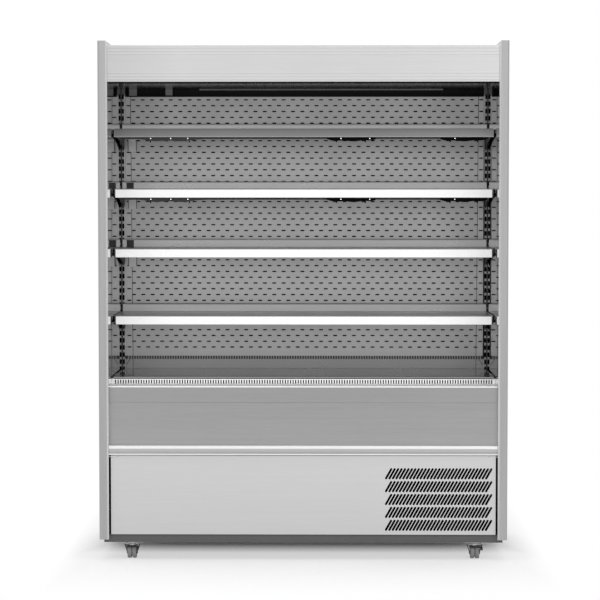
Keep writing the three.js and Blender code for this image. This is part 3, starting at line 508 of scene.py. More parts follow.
class EffectLibrary:
    """Builds each shared node group the first time it is asked for."""

    def __init__(self) -> None:
        """Starts empty."""
        self.built: dict[Shared, bpy.types.NodeTree] = {}

    def get(self, kind: Shared) -> bpy.types.NodeTree:
        """The group for an effect.

        Args:
            kind: the effect.

        Returns:
            Its node tree.
        """
        if kind not in self.built:
            makers = {Shared.BRUSHING: self.brushing, Shared.HANDLING: self.handling,
                      Shared.DUST: self.dust, Shared.WEAR: self.wear}
            self.built[kind] = makers[kind]()
        return self.built[kind]

    @staticmethod
    def brushing() -> bpy.types.NodeTree:
        """Fine parallel scratches: two noises on a vector that the material has stretched.

        Returns:
            The group, giving a Shade and a Height.
        """
        nodes, given, result = new_group(Shared.BRUSHING, {"Fineness": 1}, ("Shade", "Height"))
        fine = nodes.add("TexNoise", {"Vector": given.outputs["Vector"],
                                      "Scale": given.outputs["Fineness"], "Detail": 3.0})
        broad = nodes.add("TexNoise", {"Vector": given.outputs["Vector"],
                                       "Scale": nodes.math("MULTIPLY", given.outputs[1], 0.13),
                                       "Detail": 2.0})
        both = nodes.math("ADD", nodes.math("MULTIPLY", fine.outputs[0], 0.6),
                          nodes.math("MULTIPLY", broad.outputs[0], 0.4))
        nodes.tree.links.new(nodes.ramp(both, 0.3, 0.7), result.inputs["Shade"])
        nodes.tree.links.new(fine.outputs[0], result.inputs["Height"])
        return nodes.tree

    @staticmethod
    def handling() -> bpy.types.NodeTree:
        """Cloudy wiping marks: a large noise, bent by a smaller one.

        Returns:
            The group, giving a Mask.
        """
        nodes, given, result = new_group(Shared.HANDLING, {"Size": 1}, ("Mask",))
        noise = nodes.add("TexNoise", {"Vector": given.outputs["Vector"],
                                       "Scale": given.outputs["Size"], "Detail": 4.0,
                                       "Roughness": 0.6, "Distortion": 1.2})
        nodes.tree.links.new(nodes.ramp(noise.outputs[0], 0.35, 0.7), result.inputs["Mask"])
        return nodes.tree

    @staticmethod
    def dust() -> bpy.types.NodeTree:
        """Dust that settles on faces that look up, broken by a noise.

        Returns:
            The group, giving a Mask.
        """
        nodes, given, result = new_group(Shared.DUST, {"Amount": 0.3}, ("Mask",))
        up = nodes.add("SeparateXYZ", {0: nodes.add("NewGeometry").outputs["Normal"]})
        noise = nodes.add("TexNoise", {"Vector": given.outputs["Vector"], "Scale": 14.0,
                                       "Detail": 6.0})
        lying = nodes.ramp(up.outputs[2], 0.35, 0.95)
        speckled = nodes.math("MULTIPLY", lying, nodes.ramp(noise.outputs[0], 0.3, 0.75))
        nodes.tree.links.new(nodes.math("MULTIPLY", speckled, given.outputs["Amount"]),
                             result.inputs["Mask"])
        return nodes.tree

    @staticmethod
    def wear() -> bpy.types.NodeTree:
        """Rubbed edges: where the normal of a slightly rounded copy differs from the real one.

        Returns:
            The group, giving a Mask.
        """
        nodes, given, result = new_group(Shared.WEAR, {"Width": 0.001, "Amount": 0.5},
                                         ("Mask",))
        soft = nodes.add("Bevel", {"Radius": given.outputs["Width"]}, samples=4)
        hard = nodes.add("NewGeometry")
        same = nodes.add("VectorMath", {0: soft.outputs[0], 1: hard.outputs["Normal"]},
                         operation="DOT_PRODUCT")
        noise = nodes.add("TexNoise", {"Vector": given.outputs["Vector"], "Scale": 90.0,
                                       "Detail": 5.0})
        edge = nodes.ramp(same.outputs["Value"], 0.98, 0.85)
        rubbed = nodes.math("MULTIPLY", edge, nodes.ramp(noise.outputs[0], 0.35, 0.6))
        nodes.tree.links.new(nodes.math("MULTIPLY", rubbed, given.outputs["Amount"]),
                             result.inputs["Mask"])
        return nodes.tree


EFFECTS = EffectLibrary()


# ---------------------------------------------------------------- finishes
class Grain(Enum):
    """Which way a finish's scratches run, as the stretch of its pattern along x, y and z."""

    NONE = (1.0, 1.0, 1.0)
    ALONG_X = (0.02, 1.0, 1.0)
    ALONG_Y = (1.0, 0.02, 1.0)
    ALONG_Z = (1.0, 1.0, 0.02)


Colour = tuple[float, float, float]


def shade(level: float, warm: float = 0.0) -> Colour:
    """A grey given as it shows on screen, from 0 to 255, as linear light.

    Args:
        level: the level on screen.
        warm: how much red gains and blue loses.

    Returns:
        The linear colour.
    """
    linear = ((level / 255 + 0.055) / 1.055) ** 2.4 if level > 10 else level / 255 / 12.92
    return (linear * (1 + warm), linear, linear * (1 - warm))


@dataclass(frozen=True)
class Finish:
    """A metal, paint or plastic finish: grain, marks, dust and wear over one colour.

    Each entry of painted_shading is painted light and shade, (axis, start, stop, factor): the
    colour times the factor before start and plain after stop, in metres along that axis. Edge is
    the strength of the gloss that a glancing look gets.
    """

    name: str
    colour: Colour
    metallic: float = 0.0
    roughness: float = 0.5
    grain: Grain = Grain.NONE
    fineness: float = 900.0
    contrast: float = 0.06
    relief: float = 0.02
    marks: float = 0.06
    dust: float = 0.0
    wear: float = 0.0
    wear_colour: Colour = (0.55, 0.55, 0.56)
    ripple: float = 0.0
    coat: float = 0.0
    # painted light and shade: gradients of the colour along one axis
    painted_shading: tuple[tuple[int, float, float, float], ...] = ()
    specular: float = 0.5
    edge: float = 1.0

    @cache
    def material(self) -> bpy.types.Material:
        """The finish's material, made the first time it is asked for.

        Returns:
            The material.
        """
        made = bpy.data.materials.new(self.name)
        made.use_nodes = True
        made.node_tree.nodes.clear()
        nodes = Nodes(made.node_tree)
        nodes.add("OutputMaterial", {"Surface": self.shader(nodes).outputs[0]})
        made.diffuse_color = (*self.colour, 1)
        return made

    def effect(self, nodes: Nodes, kind: Shared, inputs: dict) -> bpy.types.Node:
        """Places a shared node group with this finish's own values."""
        return nodes.add("Group", inputs, node_tree=EFFECTS.get(kind))

    def shader(self, nodes: Nodes) -> bpy.types.Node:
        """Builds the finish's nodes.

        Args:
            nodes: the material's tree.

        Returns:
            The Principled BSDF.
        """
        place = nodes.add("TexCoord").outputs["Object"]
        stretched = nodes.add("Mapping", {"Vector": place, "Scale": self.grain.value}).outputs[0]
        grain = self.effect(nodes, Shared.BRUSHING,
                            {"Vector": stretched, "Fineness": self.fineness})
        marks = self.effect(nodes, Shared.HANDLING, {"Vector": place, "Size": 3.5})
        dark = tuple(c * (1 - self.contrast) for c in self.colour)
        light = tuple(min(1.0, c * (1 + self.contrast)) for c in self.colour)
        colour = nodes.mix(grain.outputs["Shade"], (*dark, 1), (*light, 1))
        # painted light and shade: the colour scaled along an axis, darker or lighter as light
        # falls
        for axis, start, stop, factor in self.painted_shading:
            along = nodes.add("SeparateXYZ", {0: place}).outputs[axis]
            level = nodes.ramp(along, start, stop, factor, 1)
            colour = nodes.add("VectorMath", {0: colour, "Scale": level},
                               operation="SCALE").outputs[0]
        rough = nodes.math("ADD", self.roughness - self.marks / 2,
                           nodes.math("MULTIPLY", marks.outputs[0], self.marks))
        if self.dust:
            dust = self.effect(nodes, Shared.DUST, {"Vector": place, "Amount": self.dust})
            colour = nodes.mix(dust.outputs[0], colour, (*shade(176, 0.03), 1))
            rough = nodes.math("ADD", rough, nodes.math("MULTIPLY", dust.outputs[0], 0.4))
        if self.wear:
            wear = self.effect(nodes, Shared.WEAR, {"Vector": place, "Amount": self.wear})
            colour = nodes.mix(wear.outputs[0], colour, (*self.wear_colour, 1))
        height = grain.outputs["Height"]
        bump = nodes.add("Bump", {"Height": height, "Strength": self.relief, "Distance": 0.001})
        normal = bump.outputs[0]
        if self.ripple:
            wave = nodes.add("TexNoise", {"Vector": place, "Scale": 2.2, "Detail": 1.0})
            wide = nodes.add("Bump", {"Height": wave.outputs[0], "Strength": self.ripple,
                                      "Distance": 0.02, "Normal": normal})
            normal = wide.outputs[0]
        return nodes.add("BsdfPrincipled", {
            "Base Color": colour, "Metallic": self.metallic, "Roughness": rough,
            "Normal": normal, "Coat Weight": self.coat, "Coat Roughness": 0.08,
            "Specular IOR Level": self.specular,
            "Specular Tint": (self.edge, self.edge, self.edge, 1)})


# used for the painted glints on chosen LED_PAINTED_GLINT points
@dataclass(frozen=True)
class Glow(Finish):
    """A lit lens: a pale plastic that gives its own even light."""

    strength: float = 2.0

    def shader(self, nodes: Nodes) -> bpy.types.Node:
        """The plain finish with its colour as emission.

        Args:
            nodes: the material's tree.

        Returns:
            The Principled BSDF.
        """
        base = super().shader(nodes)
        base.inputs["Emission Color"].default_value = (*self.colour, 1)
        base.inputs["Emission Strength"].default_value = self.strength
        return base


@dataclass(frozen=True)
class Woven(Finish):
    """A coated cloth: over-and-under threads along its own UV map, in metres."""

    thread: float = 0.0009

    def shader(self, nodes: Nodes) -> bpy.types.Node:
        """Adds a plain weave to the finish.

        Args:
            nodes: the material's tree.

        Returns:
            The Principled BSDF.
        """
        base = super().shader(nodes)
        uv = nodes.add("SeparateXYZ", {0: nodes.add("UVMap").outputs[0]})
        turns = 2 * math.pi / self.thread
        across = nodes.math("SINE", nodes.math("MULTIPLY", uv.outputs[0], turns))
        along = nodes.math("SINE", nodes.math("MULTIPLY", uv.outputs[1], turns))
        weave = nodes.ramp(nodes.math("MULTIPLY", across, along), -1, 1)
        dark = tuple(c * 0.86 for c in self.colour)
        nodes.tree.links.new(nodes.mix(weave, (*dark, 1), (*self.colour, 1)),
                             base.inputs["Base Color"])
        bump = nodes.add("Bump", {"Height": weave, "Strength": 0.3, "Distance": 0.0004})
        nodes.tree.links.new(bump.outputs[0], base.inputs["Normal"])
        return base


SIDE_SKIN = Finish("brushed_side_skin", shade(168), 0.9, 0.34, Grain.ALONG_Z, ripple=0.05)
SIDE_LINING = Finish("mirror_side_lining", shade(222), 1.0, 0.04, Grain.ALONG_Z,
                     contrast=0.01, relief=0.0, marks=0.02)
BACK_WALL = Finish("satin_back_wall", shade(176), 0.75, 0.38, Grain.ALONG_X, contrast=0.05)
# painted shade: the upright's colour drops to 30 % above 1.74 m, in the shadow of the canopy
UPRIGHT_STEEL = Finish("slotted_upright_steel", shade(150), 0.8, 0.38, Grain.ALONG_Z,
                       painted_shading=((2, 1.74, 1.728, 0.3),))
SHELF_STEEL = Finish("shelf_top_steel", shade(184), 0.8, 0.3, Grain.ALONG_X, dust=0.05)
# painted shade: a darker copy of the shelf steel for the lip, darker still at the top of the
# highest lip and towards the left end, lighter towards the right
LIP_PAINTED_SHADE = Finish("shelf_lip_painted_shade", shade(132), 0.8, 0.32, Grain.ALONG_X,
                   painted_shading=((2, 1.592, 1.566, 0.66), (0, -0.7, -0.3, 0.8), (0, 0.7, 0.3, 1.1)))
# painted highlight: a bright steel for folds and edges where light catches
FOLD_PAINTED_HIGHLIGHT = Finish("painted_highlight_fold", shade(206), 0.85, 0.25, Grain.ALONG_X)
POLISHED = Finish("polished_deck_steel", shade(141), 1.0, 0.12, Grain.ALONG_X, contrast=0.03,
                  relief=0.004, marks=0.05, edge=0.88)
# painted reflection: a darker copy of the wall steel for the foot, standing for the dark deck
# mirrored in it
WALL_FOOT_PAINTED_REFLECTION = Finish("satin_wall_foot_painted_reflection", shade(146), 0.8, 0.3, Grain.ALONG_X, contrast=0.04)
CEILING = Finish("polished_ceiling", shade(146), 1.0, 0.16, Grain.ALONG_X, contrast=0.02,
                 relief=0.0, marks=0.02)
# painted shade: the canopy darker towards its left end
CANOPY = Finish("satin_canopy_aluminium", shade(202), 0.7, 0.36, Grain.ALONG_X, contrast=0.03,
                painted_shading=((0, -0.72, -0.45, 0.86),))
# painted shade: nose front and fascia darker towards the top, above 0.43 m
NOSE = Finish("nose_steel", shade(160), 0.75, 0.34, Grain.ALONG_X, painted_shading=((2, 0.6, 0.43, 0.93),))
# painted highlight: a brighter, less metallic copy of the nose steel for the top and its round
NOSE_TOP_PAINTED_HIGHLIGHT = Finish("nose_top_painted_highlight", shade(246), 0.3, 0.4, Grain.ALONG_X)
# painted shade: the rail darker towards its foot, below 0.42 m
RAIL = Finish("bumper_rail_aluminium", shade(188), 0.3, 0.38, Grain.ALONG_X, contrast=0.03,
              painted_shading=((2, 0.395, 0.42, 0.84),))
# painted highlight: a brighter copy of the rail's finish for its crown and bead
RAIL_CROWN_PAINTED_HIGHLIGHT = Finish("bumper_rail_crown_painted_highlight", shade(230), 0.3, 0.36, Grain.ALONG_X, contrast=0.03)
# painted shade: the panel darker towards the bottom
SERVICE = Finish("service_panel_steel", shade(204), 0.75, 0.36, Grain.ALONG_X, contrast=0.03,
                 painted_shading=((2, 0.1, 0.38, 0.95),))
# painted shade: the top of the plinth at 40 %, under the service panel; its dust and wear are the
# paint's own
FRAME_PAINT = Finish("frame_grey_paint", shade(81), 0.0, 0.55, fineness=260.0, relief=0.08,
                     dust=0.1, wear=0.35, painted_shading=((2, 0.0945, 0.086, 0.4),))
# partly the brackets' black paint, partly painted shade: it stands for their dark reflection and
# shadow in the wall
DARK_PAINT_AND_SHADE = Finish("bracket_black_paint_and_painted_shade", shade(34), 0.0, 0.42, fineness=260.0, relief=0.06,
                    wear=0.3)
WHITE_COMB = Finish("white_comb_paint", shade(255), 0.0, 0.4, fineness=300.0, relief=0.04,
                    contrast=0.02)
STRIP_WHITE = Finish("ticket_strip_white", shade(255), 0.0, 0.28, Grain.ALONG_X, contrast=0.01,
                     coat=0.4)
BLACK_PLASTIC = Finish("black_plastic", shade(26), 0.0, 0.4, fineness=400.0, relief=0.05)
STRAP_GREY = Finish("hanging_strap_grey", shade(128), 0.3, 0.4, fineness=400.0)
HONEYCOMB = Finish("outlet_honeycomb_black", shade(14), 0.0, 0.7, fineness=400.0,
                   specular=0.1)
GAP_BLACK = Finish("shadow_gap_black", shade(10), 0.0, 0.8, fineness=200.0, specular=0.05)
LENS = Finish("unlit_lens", shade(88), 0.0, 0.3, fineness=200.0)
SOCKET_GREY = Finish("socket_plate_grey", shade(210), 0.3, 0.35, fineness=400.0)
# dark sealant on the seam beads; elsewhere painted shade and painted reflection: the comb's band,
# the upright's corner strip, the riser's top line and the deck's mirrored edge
SEALANT_AND_PAINTED_SHADE = Finish("dark_sealant_and_painted_shade", shade(70), 0.0, 0.6, fineness=300.0)
# painted glints: emission on chosen LED_PAINTED_GLINT points
LED_PAINTED_GLINT = Glow("painted_led_glint", (1.0, 1.0, 1.0), 0.0, 0.3, contrast=0.0, strength=1.0)
ALUMINIUM = Finish("drawn_aluminium", shade(205), 0.9, 0.3, Grain.ALONG_X)
CLOTH = Woven("coated_blind_cloth", shade(216, 0.02), 0.0, 0.85)
GALVANISED = Finish("galvanised_sheet", shade(178), 0.8, 0.42, fineness=60.0, contrast=0.14,
                    dust=0.15)
TANK_STEEL = Finish("well_tank_steel", shade(180), 0.8, 0.4, Grain.ALONG_X, dust=0.1)
ENAMEL_BLACK = Finish("compressor_enamel", shade(28), 0.0, 0.32, fineness=300.0, relief=0.06,
                      dust=0.35, coat=0.3)
# painted shade: the dark of the duct behind the perforated wall
DUCT_PAINTED_SHADE = Finish("duct_painted_shade_skin", shade(48), 0.0, 0.8, fineness=200.0, specular=0.1)
# a black coating on the coil and shroud, and painted shade: with the core it keeps the louvre
# slots black
COIL_BLACK_AND_SHADE = Finish("coil_black_coating_and_painted_shade", shade(12), 0.0, 0.8, Grain.ALONG_Z, contrast=0.3,
                    specular=0.05)
FINS = Finish("coil_fins", shade(190), 0.9, 0.35, Grain.ALONG_Z, contrast=0.1)
CONTROLLER = Finish("controller_grey", shade(120), 0.0, 0.5, fineness=500.0, relief=0.06)
ZINC = Finish("zinc_plate", shade(190), 0.9, 0.3, fineness=80.0, contrast=0.1, wear=0.2)
BLACKENED = Finish("blackened_yoke_steel", shade(54), 0.5, 0.42, fineness=120.0, contrast=0.1,
                   wear=0.3)
TREAD = Finish("grey_tread", shade(128), 0.0, 0.62, fineness=500.0, relief=0.1, dust=0.2)


# ---------------------------------------------------------------- putting pieces in
@dataclass
class Cuts:
    """How a mesh is finished after its surface is worked out."""

    bevel: float = 0.0
    segments: int = 2
    smooth: float = 40.0


def into_mesh(name: str, shape: Shape) -> bpy.types.Mesh:
    """Fills a Blender mesh from a shape, closes its seams and turns its faces outwards.

    Args:
        name: the mesh's name.
        shape: points in millimetres and faces.

    Returns:
        The mesh, in metres.
    """
    mesh = bpy.data.meshes.new(name)
    mesh.vertices.add(len(shape.points))
    mesh.vertices.foreach_set("co", (shape.points * MM).astype(np.float32).ravel())
    mesh.loops.add(len(shape.loops))
    mesh.loops.foreach_set("vertex_index", shape.loops.astype(np.int32))
    mesh.polygons.add(len(shape.sizes))
    starts = np.cumsum(shape.sizes) - shape.sizes
    mesh.polygons.foreach_set("loop_start", starts.astype(np.int32))
    mesh.polygons.foreach_set("material_index", shape.zones.astype(np.int32))
    mesh.update(calc_edges=True)
    work = bmesh.new()
    work.from_mesh(mesh)
    bmesh.ops.remove_doubles(work, verts=work.verts, dist=1e-6)
    bmesh.ops.recalc_face_normals(work, faces=work.faces)
    work.to_mesh(mesh)
    work.free()
    return mesh


def put(name: str, shape: Shape, body: str | None, finishes: Sequence[Finish],
        replaces: Sequence[str] = (), cuts: Cuts = Cuts()) -> bpy.types.Object:
    """Puts a piece into the scene.

    Args:
        name: the piece's name.
        shape: its surface.
        body: the body it rides on, or None to leave it unattached.
        finishes: one for each zone of the shape.
        replaces: the solids it stands for.
        cuts: bevel and smoothing.

    Returns:
        The object.
    """
    mesh = into_mesh(name, shape)
    for finish in finishes:
        mesh.materials.append(finish.material())
    mesh.shade_smooth()
    mesh.set_sharp_from_angle(angle=math.radians(cuts.smooth))
    obj = bpy.data.objects.new(name, mesh)
    bpy.context.scene.collection.objects.link(obj)
    if cuts.smooth < 90:
        even = obj.modifiers.new("flat_faces_stay_flat", "WEIGHTED_NORMAL")
        even.keep_sharp = True
    if cuts.bevel:
        bevel = obj.modifiers.new("edges", "BEVEL")
        bevel.width = cuts.bevel * MM
        bevel.segments = cuts.segments
        bevel.limit_method = "ANGLE"
        bevel.angle_limit = math.radians(cuts.smooth)
        bevel.harden_normals = True
    if body:
        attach(obj, body)
    if replaces:
        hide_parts(*replaces)
    log.info("%s on %s", name, body or "two bodies")
    return obj


def dress(node: str, finish: Finish, bevel: float = 0.0) -> None:
    """Gives a solid that is shown as it is its finish, and rounds its edges.

    Args:
        node: the solid's name.
        finish: its finish.
        bevel: width of its rounded edges in millimetres.
    """
    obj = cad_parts[node]
    for place in obj.material_slots:
        place.material = finish.material()
    if bevel:
        weld = obj.modifiers.new("weld", "WELD")
        weld.merge_threshold = 1e-5
        edge = obj.modifiers.new("edges", "BEVEL")
        edge.width = bevel * MM
        edge.segments = 2
        edge.limit_method = "ANGLE"
        edge.angle_limit = math.radians(35)
    log.info("%s dressed", node)


# ---------------------------------------------------------------- sub-assemblies
@dataclass
class Shell:
    """Foamed end panels, rear panel with a painted-shade skin on its inner face, and roof."""

    inner: float = 715.0
    outer: float = 750.0
    front: float = -320.0
    back: float = 320.0
    foot: float = 78.3
    top: float = 1907.0
    bevel: float = 6.0
    cap_drop: float = 13.0
    skin_depth: tuple[float, float] = (269.75, 269.95)
    skin_height: tuple[float, float] = (664.0, 1850.0)

    def end_panel(self, side: int) -> Shape:
        """One end panel: its plan carried up, its inner top edge sloped off.

        The top is level except within one bevel of the inner face, where it falls by the
        cap's drop in proportion to the distance.

        Args:
            side: -1 for the left, 1 for the right.

        Returns:
            The panel; zone 0 is the outer skin, 1 the lining that faces the goods and 2
            the bevel between them, in a painted highlight.
        """
        step = self.inner + self.bevel
        plan = np.array([
            (self.inner, self.back), (self.inner, self.front + self.bevel),
            (step, self.front), (self.outer - self.bevel, self.front),
            (self.outer, self.front + self.bevel), (self.outer, self.back), (step, self.back)])
        fall = self.cap_drop * np.clip((step - plan[:, 0]) / self.bevel, 0, 1)
        points = np.vstack([lifted(plan, Axis.Z, self.foot),
                            lifted(plan, Axis.Z, self.top - fall)])
        n = len(plan)
        a = np.arange(n)
        sides = np.stack([a, (a + 1) % n, (a + 1) % n + n, a + n], axis=1)
        slope = np.array([[0, 1, 2, 6]]) + n
        flat = np.array([[2, 3, 4, 5, 6]]) + n
        shape = Shape.of(points, sides, a[None, ::-1], slope, flat)
        shape.zones[:2] = (1, 2)
        return shape.scaled(x=side)

    def build(self) -> None:
        """Builds the panels and dresses the rear panel and the roof."""
        for side, name in SIDES:
            put(f"end_panel_skin_{name}", self.end_panel(side), CABINET,
                (SIDE_SKIN, SIDE_LINING, FOLD_PAINTED_HIGHLIGHT), (f"end_panel_{name}",),
                Cuts(smooth=20))
        # painted shade: a dark sheet in front of the rear panel, seen through the wall's slots
        skin = block((-self.inner, self.inner), self.skin_depth, self.skin_height)
        put("rear_panel_painted_shade_skin", skin, CABINET, (DUCT_PAINTED_SHADE,))
        dress("rear_panel", GALVANISED)
        dress("roof_panel", GALVANISED, 0.8)


@dataclass
class Canopy:
    """Fascia, ceiling with its strap and clip, and air outlet."""

    half: float = 714.7
    foot: float = 1758.0
    top: float = 1891.0
    face: float = -312.0
    sheet: float = 2.5
    ridge: float = 0.9
    ridge_width: float = 7.0
    ridge_pitch: float = 11.5
    ridge_margin: float = 6.0
    lip: float = 14.0
    ceiling_front: float = -194.2
    ceiling_back: float = 221.2
    upturn: float = 20.0
    strap: tuple[float, float, float] = (-669.0, 30.0, 24.0)
    hem: tuple[float, float, float] = (-410.0, 540.0, 3.0)
    clip: tuple[float, float, float] = (-528.5, 27.0, 22.5)

    def ridge_run(self, start: float) -> np.ndarray:
        """Three ridges up from start: depth = ridge x sine of half a turn over each width.

        Args:
            start: the level of the lowest ridge.

        Returns:
            Points of (y, z), going up.
        """
        turn = np.linspace(0, 1, 7)
        step = np.arange(3)[:, None] * self.ridge_pitch
        z = (start + step + turn * self.ridge_width).ravel()
        y = np.tile(self.face - self.ridge * np.sin(turn * math.pi), 3)
        return np.stack([y, z], axis=1)

    def fascia(self) -> Shape:
        """The extruded fascia, ridged along both edges.

        Returns:
            The fascia.
        """
        band = 2 * self.ridge_pitch + self.ridge_width
        inner = self.face + self.sheet
        outline = np.vstack([
            [(self.face + self.lip, self.foot), (self.face + 1, self.foot),
             (self.face, self.foot + 1)],
            self.ridge_run(self.foot + self.ridge_margin),
            self.ridge_run(self.top - self.ridge_margin - band),
            [(self.face, self.top - 1), (self.face + 1, self.top), (inner, self.top),
             (inner, self.foot + self.sheet), (self.face + self.lip, self.foot + self.sheet)]])
        return prism(outline, Axis.X, -self.half, self.half)

    def ceiling(self) -> Shape:
        """The ceiling sheet with the strap and the clip that hang from its rear edge.

        Returns:
            The sheet in zone 0, what hangs from it in zone 1.
        """
        sheet = folded([(self.ceiling_front, self.foot + self.upturn),
                        (self.ceiling_front, self.foot), (self.ceiling_back, self.foot)],
                       1.5, 2.0, -self.half, self.half)
        tabs = [block((x - w / 2, x + w / 2), (self.ceiling_back - 1.5, self.ceiling_back),
                      (self.foot - drop, self.foot + 0.7)).zoned(1)
                for x, w, drop in (self.strap, self.clip)]
        hem = block(self.hem[:2], (self.ceiling_back - 2, self.ceiling_back - 1.4),
                    (self.foot - self.hem[2], self.foot + 0.7)).zoned(1)
        return together([sheet, hem, *tabs])

    def build(self) -> None:
        """Builds the canopy."""
        put("canopy_front", self.fascia(), CABINET, (CANOPY,),
            ("canopy_fascia",))
        put("ceiling_sheet", self.ceiling(), CABINET, (CEILING, STRAP_GREY),
            ("ceiling_liner",))
        dress("air_honeycomb", HONEYCOMB)


@dataclass
class NightBlind:
    """Spring roller, the cloth wound on it and the pull rail."""

    axis_y: float = -283.0
    axis_z: float = 1822.0
    tube_radius: float = 12.0
    roll_radius: float = 20.0
    cloth: float = 0.4
    wind: float = 0.62
    half: float = 690.0
    rail_half: float = 694.0
    rail_foot: float = 1762.0
    rail_height: float = 20.0
    rail_width: float = 12.0

    def cloth_path(self) -> np.ndarray:
        """The cloth's middle line in (y, z), from inside the roll to the rail.

        The roll is a spiral: its radius grows by one winding for each turn; the hanging end
        drops straight from the roll's rear.

        Returns:
            Points of (y, z).
        """
        outer = self.roll_radius - self.cloth
        turns = (outer - self.tube_radius - 1) / self.wind
        angle = np.linspace(-2 * math.pi * turns, 0, int(turns * 40))
        radius = outer + self.wind * angle / (2 * math.pi)
        roll = np.stack([self.axis_y + radius * np.cos(angle),
                         self.axis_z + radius * np.sin(angle)], axis=1)
        drop = np.linspace(self.axis_z, self.rail_foot + self.rail_height, 14)[1:]
        hang = np.stack([np.full(len(drop), self.axis_y + outer), drop], axis=1)
        return np.vstack([roll, hang])

    def build_cloth(self) -> None:
        """The cloth: its path carried along X on a grid, with a UV map in metres."""
        path = self.cloth_path()
        columns = np.linspace(-self.half, self.half, 25)
        length = np.concatenate([[0], np.cumsum(np.linalg.norm(np.diff(path, axis=0), axis=1))])
        rows, count = len(path), len(columns)
        points = np.stack([np.tile(columns, rows), np.repeat(path[:, 0], count),
                           np.repeat(path[:, 1], count)], axis=1)
        grid = np.arange(rows * count).reshape(rows, count)
        quads = np.stack([grid[:-1, :-1], grid[:-1, 1:], grid[1:, 1:], grid[1:, :-1]], axis=-1)
        cloth = put("night_blind_cloth", Shape.of(points, quads.reshape(-1, 4)), None,
                    (CLOTH,), ("blind_cloth",), Cuts(smooth=180))
        mesh = cloth.data
        corner = np.zeros(len(mesh.loops), np.int32)
        mesh.loops.foreach_get("vertex_index", corner)
        spot = np.zeros(len(mesh.vertices) * 3, np.float32)
        mesh.vertices.foreach_get("co", spot)
        flat = np.stack([np.tile(columns, rows), np.repeat(length, count)], axis=1) * MM
        order = np.lexsort(np.round(points * MM, 6).T)
        found = np.lexsort(np.round(spot.reshape(-1, 3).astype(float), 6).T)
        uv = np.zeros((len(mesh.vertices), 2))
        uv[found] = flat[order]
        mesh.uv_layers.new(name="UVMap").data.foreach_set("uv", uv[corner].ravel())
        wall = cloth.modifiers.new("thickness", "SOLIDIFY")
        wall.thickness = self.cloth * MM
        wall.offset = 0
        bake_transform(cloth)

    def build(self) -> None:
        """Builds the blind."""
        ends, pin, reach = 700.0, 4.0, 719.0
        radius = self.tube_radius
        half_profile = [(0, reach), (pin, reach), (pin, ends), (radius - 1, ends),
                        (radius, ends - 1)]
        profile = [(r, -h) for r, h in half_profile] + half_profile[::-1]
        roller = lathed(profile, Axis.X, 40).moved(y=self.axis_y, z=self.axis_z)
        put("blind_roller_tube", roller, "blind_roller", (ALUMINIUM,),
            ("blind_roller",))
        self.build_cloth()
        middle = self.axis_y + self.roll_radius - 0.6
        w, z0, z1 = self.rail_width / 2, self.rail_foot, self.rail_foot + self.rail_height
        outline = rounded([(middle - w, z0), (middle + w, z0), (middle + w, z0 + 4),
                           (middle + w - 2, z1), (middle - w + 2, z1), (middle - w, z0 + 4)],
                          (3, 3, 1, 1.5, 1.5, 1))
        put("blind_pull_rail", prism(outline, Axis.X, -self.rail_half, self.rail_half), "blind",
            (ALUMINIUM,), ("blind_rail",))


